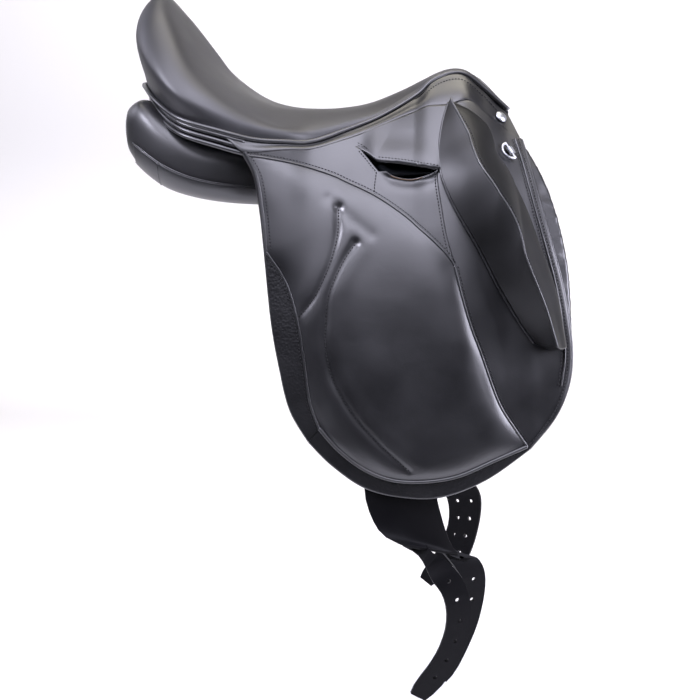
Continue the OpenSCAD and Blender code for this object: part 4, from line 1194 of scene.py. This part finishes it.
@dataclass
class Straps:
    """The girth straps, the billets and the lining of the channel."""

    edge: float = 0.9
    lining_edge: float = 0.8
    rear: Tuck = Tuck((12.0, -43.0, 12.0), 135.0, 40.0, (108.0, 205.0, -392.0), (140.0, 230.0, -425.0))
    front: Tuck = Tuck((-15.0, 3.0, 20.0), 174.0, 22.0, (146.0, 197.0, -404.0), (168.0, 187.0, -428.0))

    def build(self) -> None:
        """Builds the straps from their solids, with rounded edges."""
        for side in Side:
            Bench.refined("girth_strap_" + side.label, "saddle", STRAP, "strap_leather", self.edge)
            for which, tuck in (("front", self.front), ("rear", self.rear)):
                strap = Bench.refined(f"{which}_billet_{side.label}", "", STRAP, "strap_leather", self.edge)
                strap.modifiers.new("flat_faces", "WEIGHTED_NORMAL").weight = 100
                tuck.bend(strap, side, f"{side.label}_{which}_billet")
        Bench.refined("gullet_lining", "saddle", PANEL, "panel_leather", self.lining_edge)


@dataclass
class Fittings:
    """The metal and the tree, which keep their solids."""

    def build(self) -> None:
        """Dresses the fittings' solids."""
        finishes = {"gullet_plate": STEEL, "saddle_nails": BRIGHT, "tree_head": TREE, "tree_cantle": TREE}
        for side in Side:
            for base in ("stirrup_bar", "bar_rivets", "catch_pin", "bar_catch"):
                finishes[f"{base}_{side.label}"] = STEEL
            for base in ("ring", "ring_staple"):
                finishes[f"{base}_{side.label}"] = BRIGHT
            for base in ("tree_rail", "tree_wing"):
                finishes[f"{base}_{side.label}"] = TREE
        for node, finish in finishes.items():
            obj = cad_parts[node]
            for holder in obj.material_slots:
                holder.material = finish.material()
            if not obj.material_slots:
                obj.data.materials.append(finish.material())
            LOG.info("%s dressed", node)


@dataclass
class Studio:
    """Floor, soft lights and the camera at the photograph's angle."""

    azimuth: float = 4.0
    elevation: float = 9.0
    distance: float = 2.0
    target: tuple[float, float, float] = (0.019, 0.0, -0.203)
    width: float = 0.896
    sensor: float = 36.0
    floor_z: float = -0.66
    sweep_wide: float = 7.0
    sweep_long: float = 5.0
    sweep_near: float = -0.8
    bend_from: float = 2.6
    bend_run: float = 1.0
    bend_r: float = 0.64
    paper: str = "#f0f0f0"
    floor_shade: str = "#1c1c1c"
    wall_shade: str = "#8c8c8c"
    glow: float = 0.02

    def build(self) -> None:
        """Builds the studio."""
        self.floor()
        self.lamps()
        self.camera()

    def floor(self) -> None:
        """A pale sweep: floor, bend and back wall."""
        def place(u: float, v: float) -> Vector:
            """Place on the sweep in mm."""
            s = v * self.sweep_long
            bend_y = self.sweep_near + self.bend_from
            if s < self.bend_from:
                y, z = self.sweep_near + s, 0.0
            elif s < self.bend_from + self.bend_run:
                a = (s - self.bend_from) / self.bend_run * math.pi / 2
                y, z = bend_y + self.bend_r * math.sin(a), self.bend_r * (1 - math.cos(a))
            else:
                y, z = bend_y + self.bend_r, self.bend_r + (s - self.bend_from - self.bend_run)
            return Vector(((u - 0.5) * self.sweep_wide, y, z + self.floor_z)) / MM

        sweep = Bench.linked("studio_sweep", Bench.grid(4, 60, place, Vector((0, 0, 1))))
        sweep.data.materials.append(self.pale_paper())

    def pale_paper(self) -> bpy.types.Material:
        """White paper to the camera and in reflections, which throws only a dim light back on the leather.

        Returns:
            The material.
        """
        mat, tree, shader, place = blank("pale_paper")
        ray = add(tree, "ShaderNodeLightPath").outputs
        gloss = add(tree, "ShaderNodeMath", {"operation": "MAXIMUM"},
                    {0: ray["Is Glossy Ray"], 1: ray["Is Transmission Ray"]}).outputs[0]
        seen = add(tree, "ShaderNodeMath", {"operation": "MAXIMUM"},
                   {0: ray["Is Camera Ray"], 1: gloss}).outputs[0]
        tone = add(tree, "ShaderNodeMix", {"data_type": "RGBA"}, {"Factor": seen})
        height = add(tree, "ShaderNodeSeparateXYZ", None, {"Vector": place}).outputs["Z"]
        climb = add(tree, "ShaderNodeMapRange", None, {"Value": height}, {"From Min": -0.55, "From Max": 0.0})
        room = add(tree, "ShaderNodeMix", {"data_type": "RGBA"}, {"Factor": climb.outputs["Result"]})
        room.inputs[6].default_value = linear(self.floor_shade)
        room.inputs[7].default_value = linear(self.wall_shade)
        tree.links.new(room.outputs[2], tone.inputs[6])
        tone.inputs[7].default_value = linear(self.paper)
        tree.links.new(tone.outputs[2], shader.inputs["Base Color"])
        glow = add(tree, "ShaderNodeMath", {"operation": "MULTIPLY"}, {0: seen}, {1: self.glow})
        tree.links.new(glow.outputs[0], shader.inputs["Emission Strength"])
        shader.inputs["Roughness"].default_value = 0.9
        shader.inputs["Emission Color"].default_value = (1, 1, 1, 1)
        return mat

    def lamps(self) -> None:
        """Soft boxes above, in front and beside, and a dim room."""
        cool, warm = (0.85, 0.84, 1.0), (1.0, 0.94, 0.82)
        boxes = (("top_box", (0.2, -0.8, 1.7), (0.0, -0.1, 0.0), 2.0, 1.3, 49.5, cool),
                 ("key_box", (0.15, -2.3, 1.62), (0.05, 0.0, 0.25), 2.4, 1.5, 30.6, cool),
                 ("front_box", (1.9, -0.5, 0.35), (0.15, 0, 0.0), 0.9, 1.1, 51.8, cool),
                 ("panel_box", (-1.5, -1.1, 1.2), (-0.2, -0.1, 0.05), 0.7, 0.6, 47.2, cool),
                 ("rear_box", (-1.6, 0.5, 0.9), (-0.1, 0, 0.1), 0.8, 0.8, 6.3, cool),
                 ("wall_box", (0.3, 1.0, 2.3), (0.4, 2.44, 1.0), 2.4, 2.4, 81.0, warm))
        for name, place, aim, wide, high, power, colour in boxes:
            lamp = bpy.data.lights.new(name, "AREA")
            lamp.shape = "RECTANGLE"
            lamp.size = wide
            lamp.size_y = high
            lamp.energy = power
            lamp.color = colour
            obj = bpy.data.objects.new(name, lamp)
            obj.location = place
            obj.rotation_euler = (Vector(aim) - Vector(place)).to_track_quat("-Z", "Y").to_euler()
            bpy.context.scene.collection.objects.link(obj)
        world = bpy.data.worlds.new("room")
        world.use_nodes = True
        world.node_tree.nodes["Background"].inputs["Color"].default_value = (0.9, 0.95, 1.0, 1.0)
        world.node_tree.nodes["Background"].inputs["Strength"].default_value = 0.03
        bpy.context.scene.world = world

    def camera(self) -> None:
        """The camera, with a lens of about 80 mm on a 36 mm frame."""
        a, e = math.radians(self.azimuth), math.radians(self.elevation)
        back = Vector((math.sin(a) * math.cos(e), -math.cos(a) * math.cos(e), math.sin(e)))
        data = bpy.data.cameras.new("photo_camera")
        data.sensor_width = self.sensor
        data.lens = self.sensor * self.distance / self.width
        cam = bpy.data.objects.new("photo_camera", data)
        cam.location = Vector(self.target) + self.distance * back
        cam.rotation_euler = (-back).to_track_quat("-Z", "Y").to_euler()
        bpy.context.scene.collection.objects.link(cam)
        bpy.context.scene.camera = cam


def main() -> None:
    """Builds the saddle's pieces in order, then the studio."""
    logging.basicConfig(level=logging.INFO, format="%(name)s: %(message)s")
    Seat().build()
    for side in Side:
        Panel(side).build()
        Flap(side).build()
    Straps().build()
    Fittings().build()
    Studio().build()
    bpy.context.scene.view_settings.view_transform = "Standard"
    bpy.context.view_layer.update()


if __name__ == "__main__":
    main()
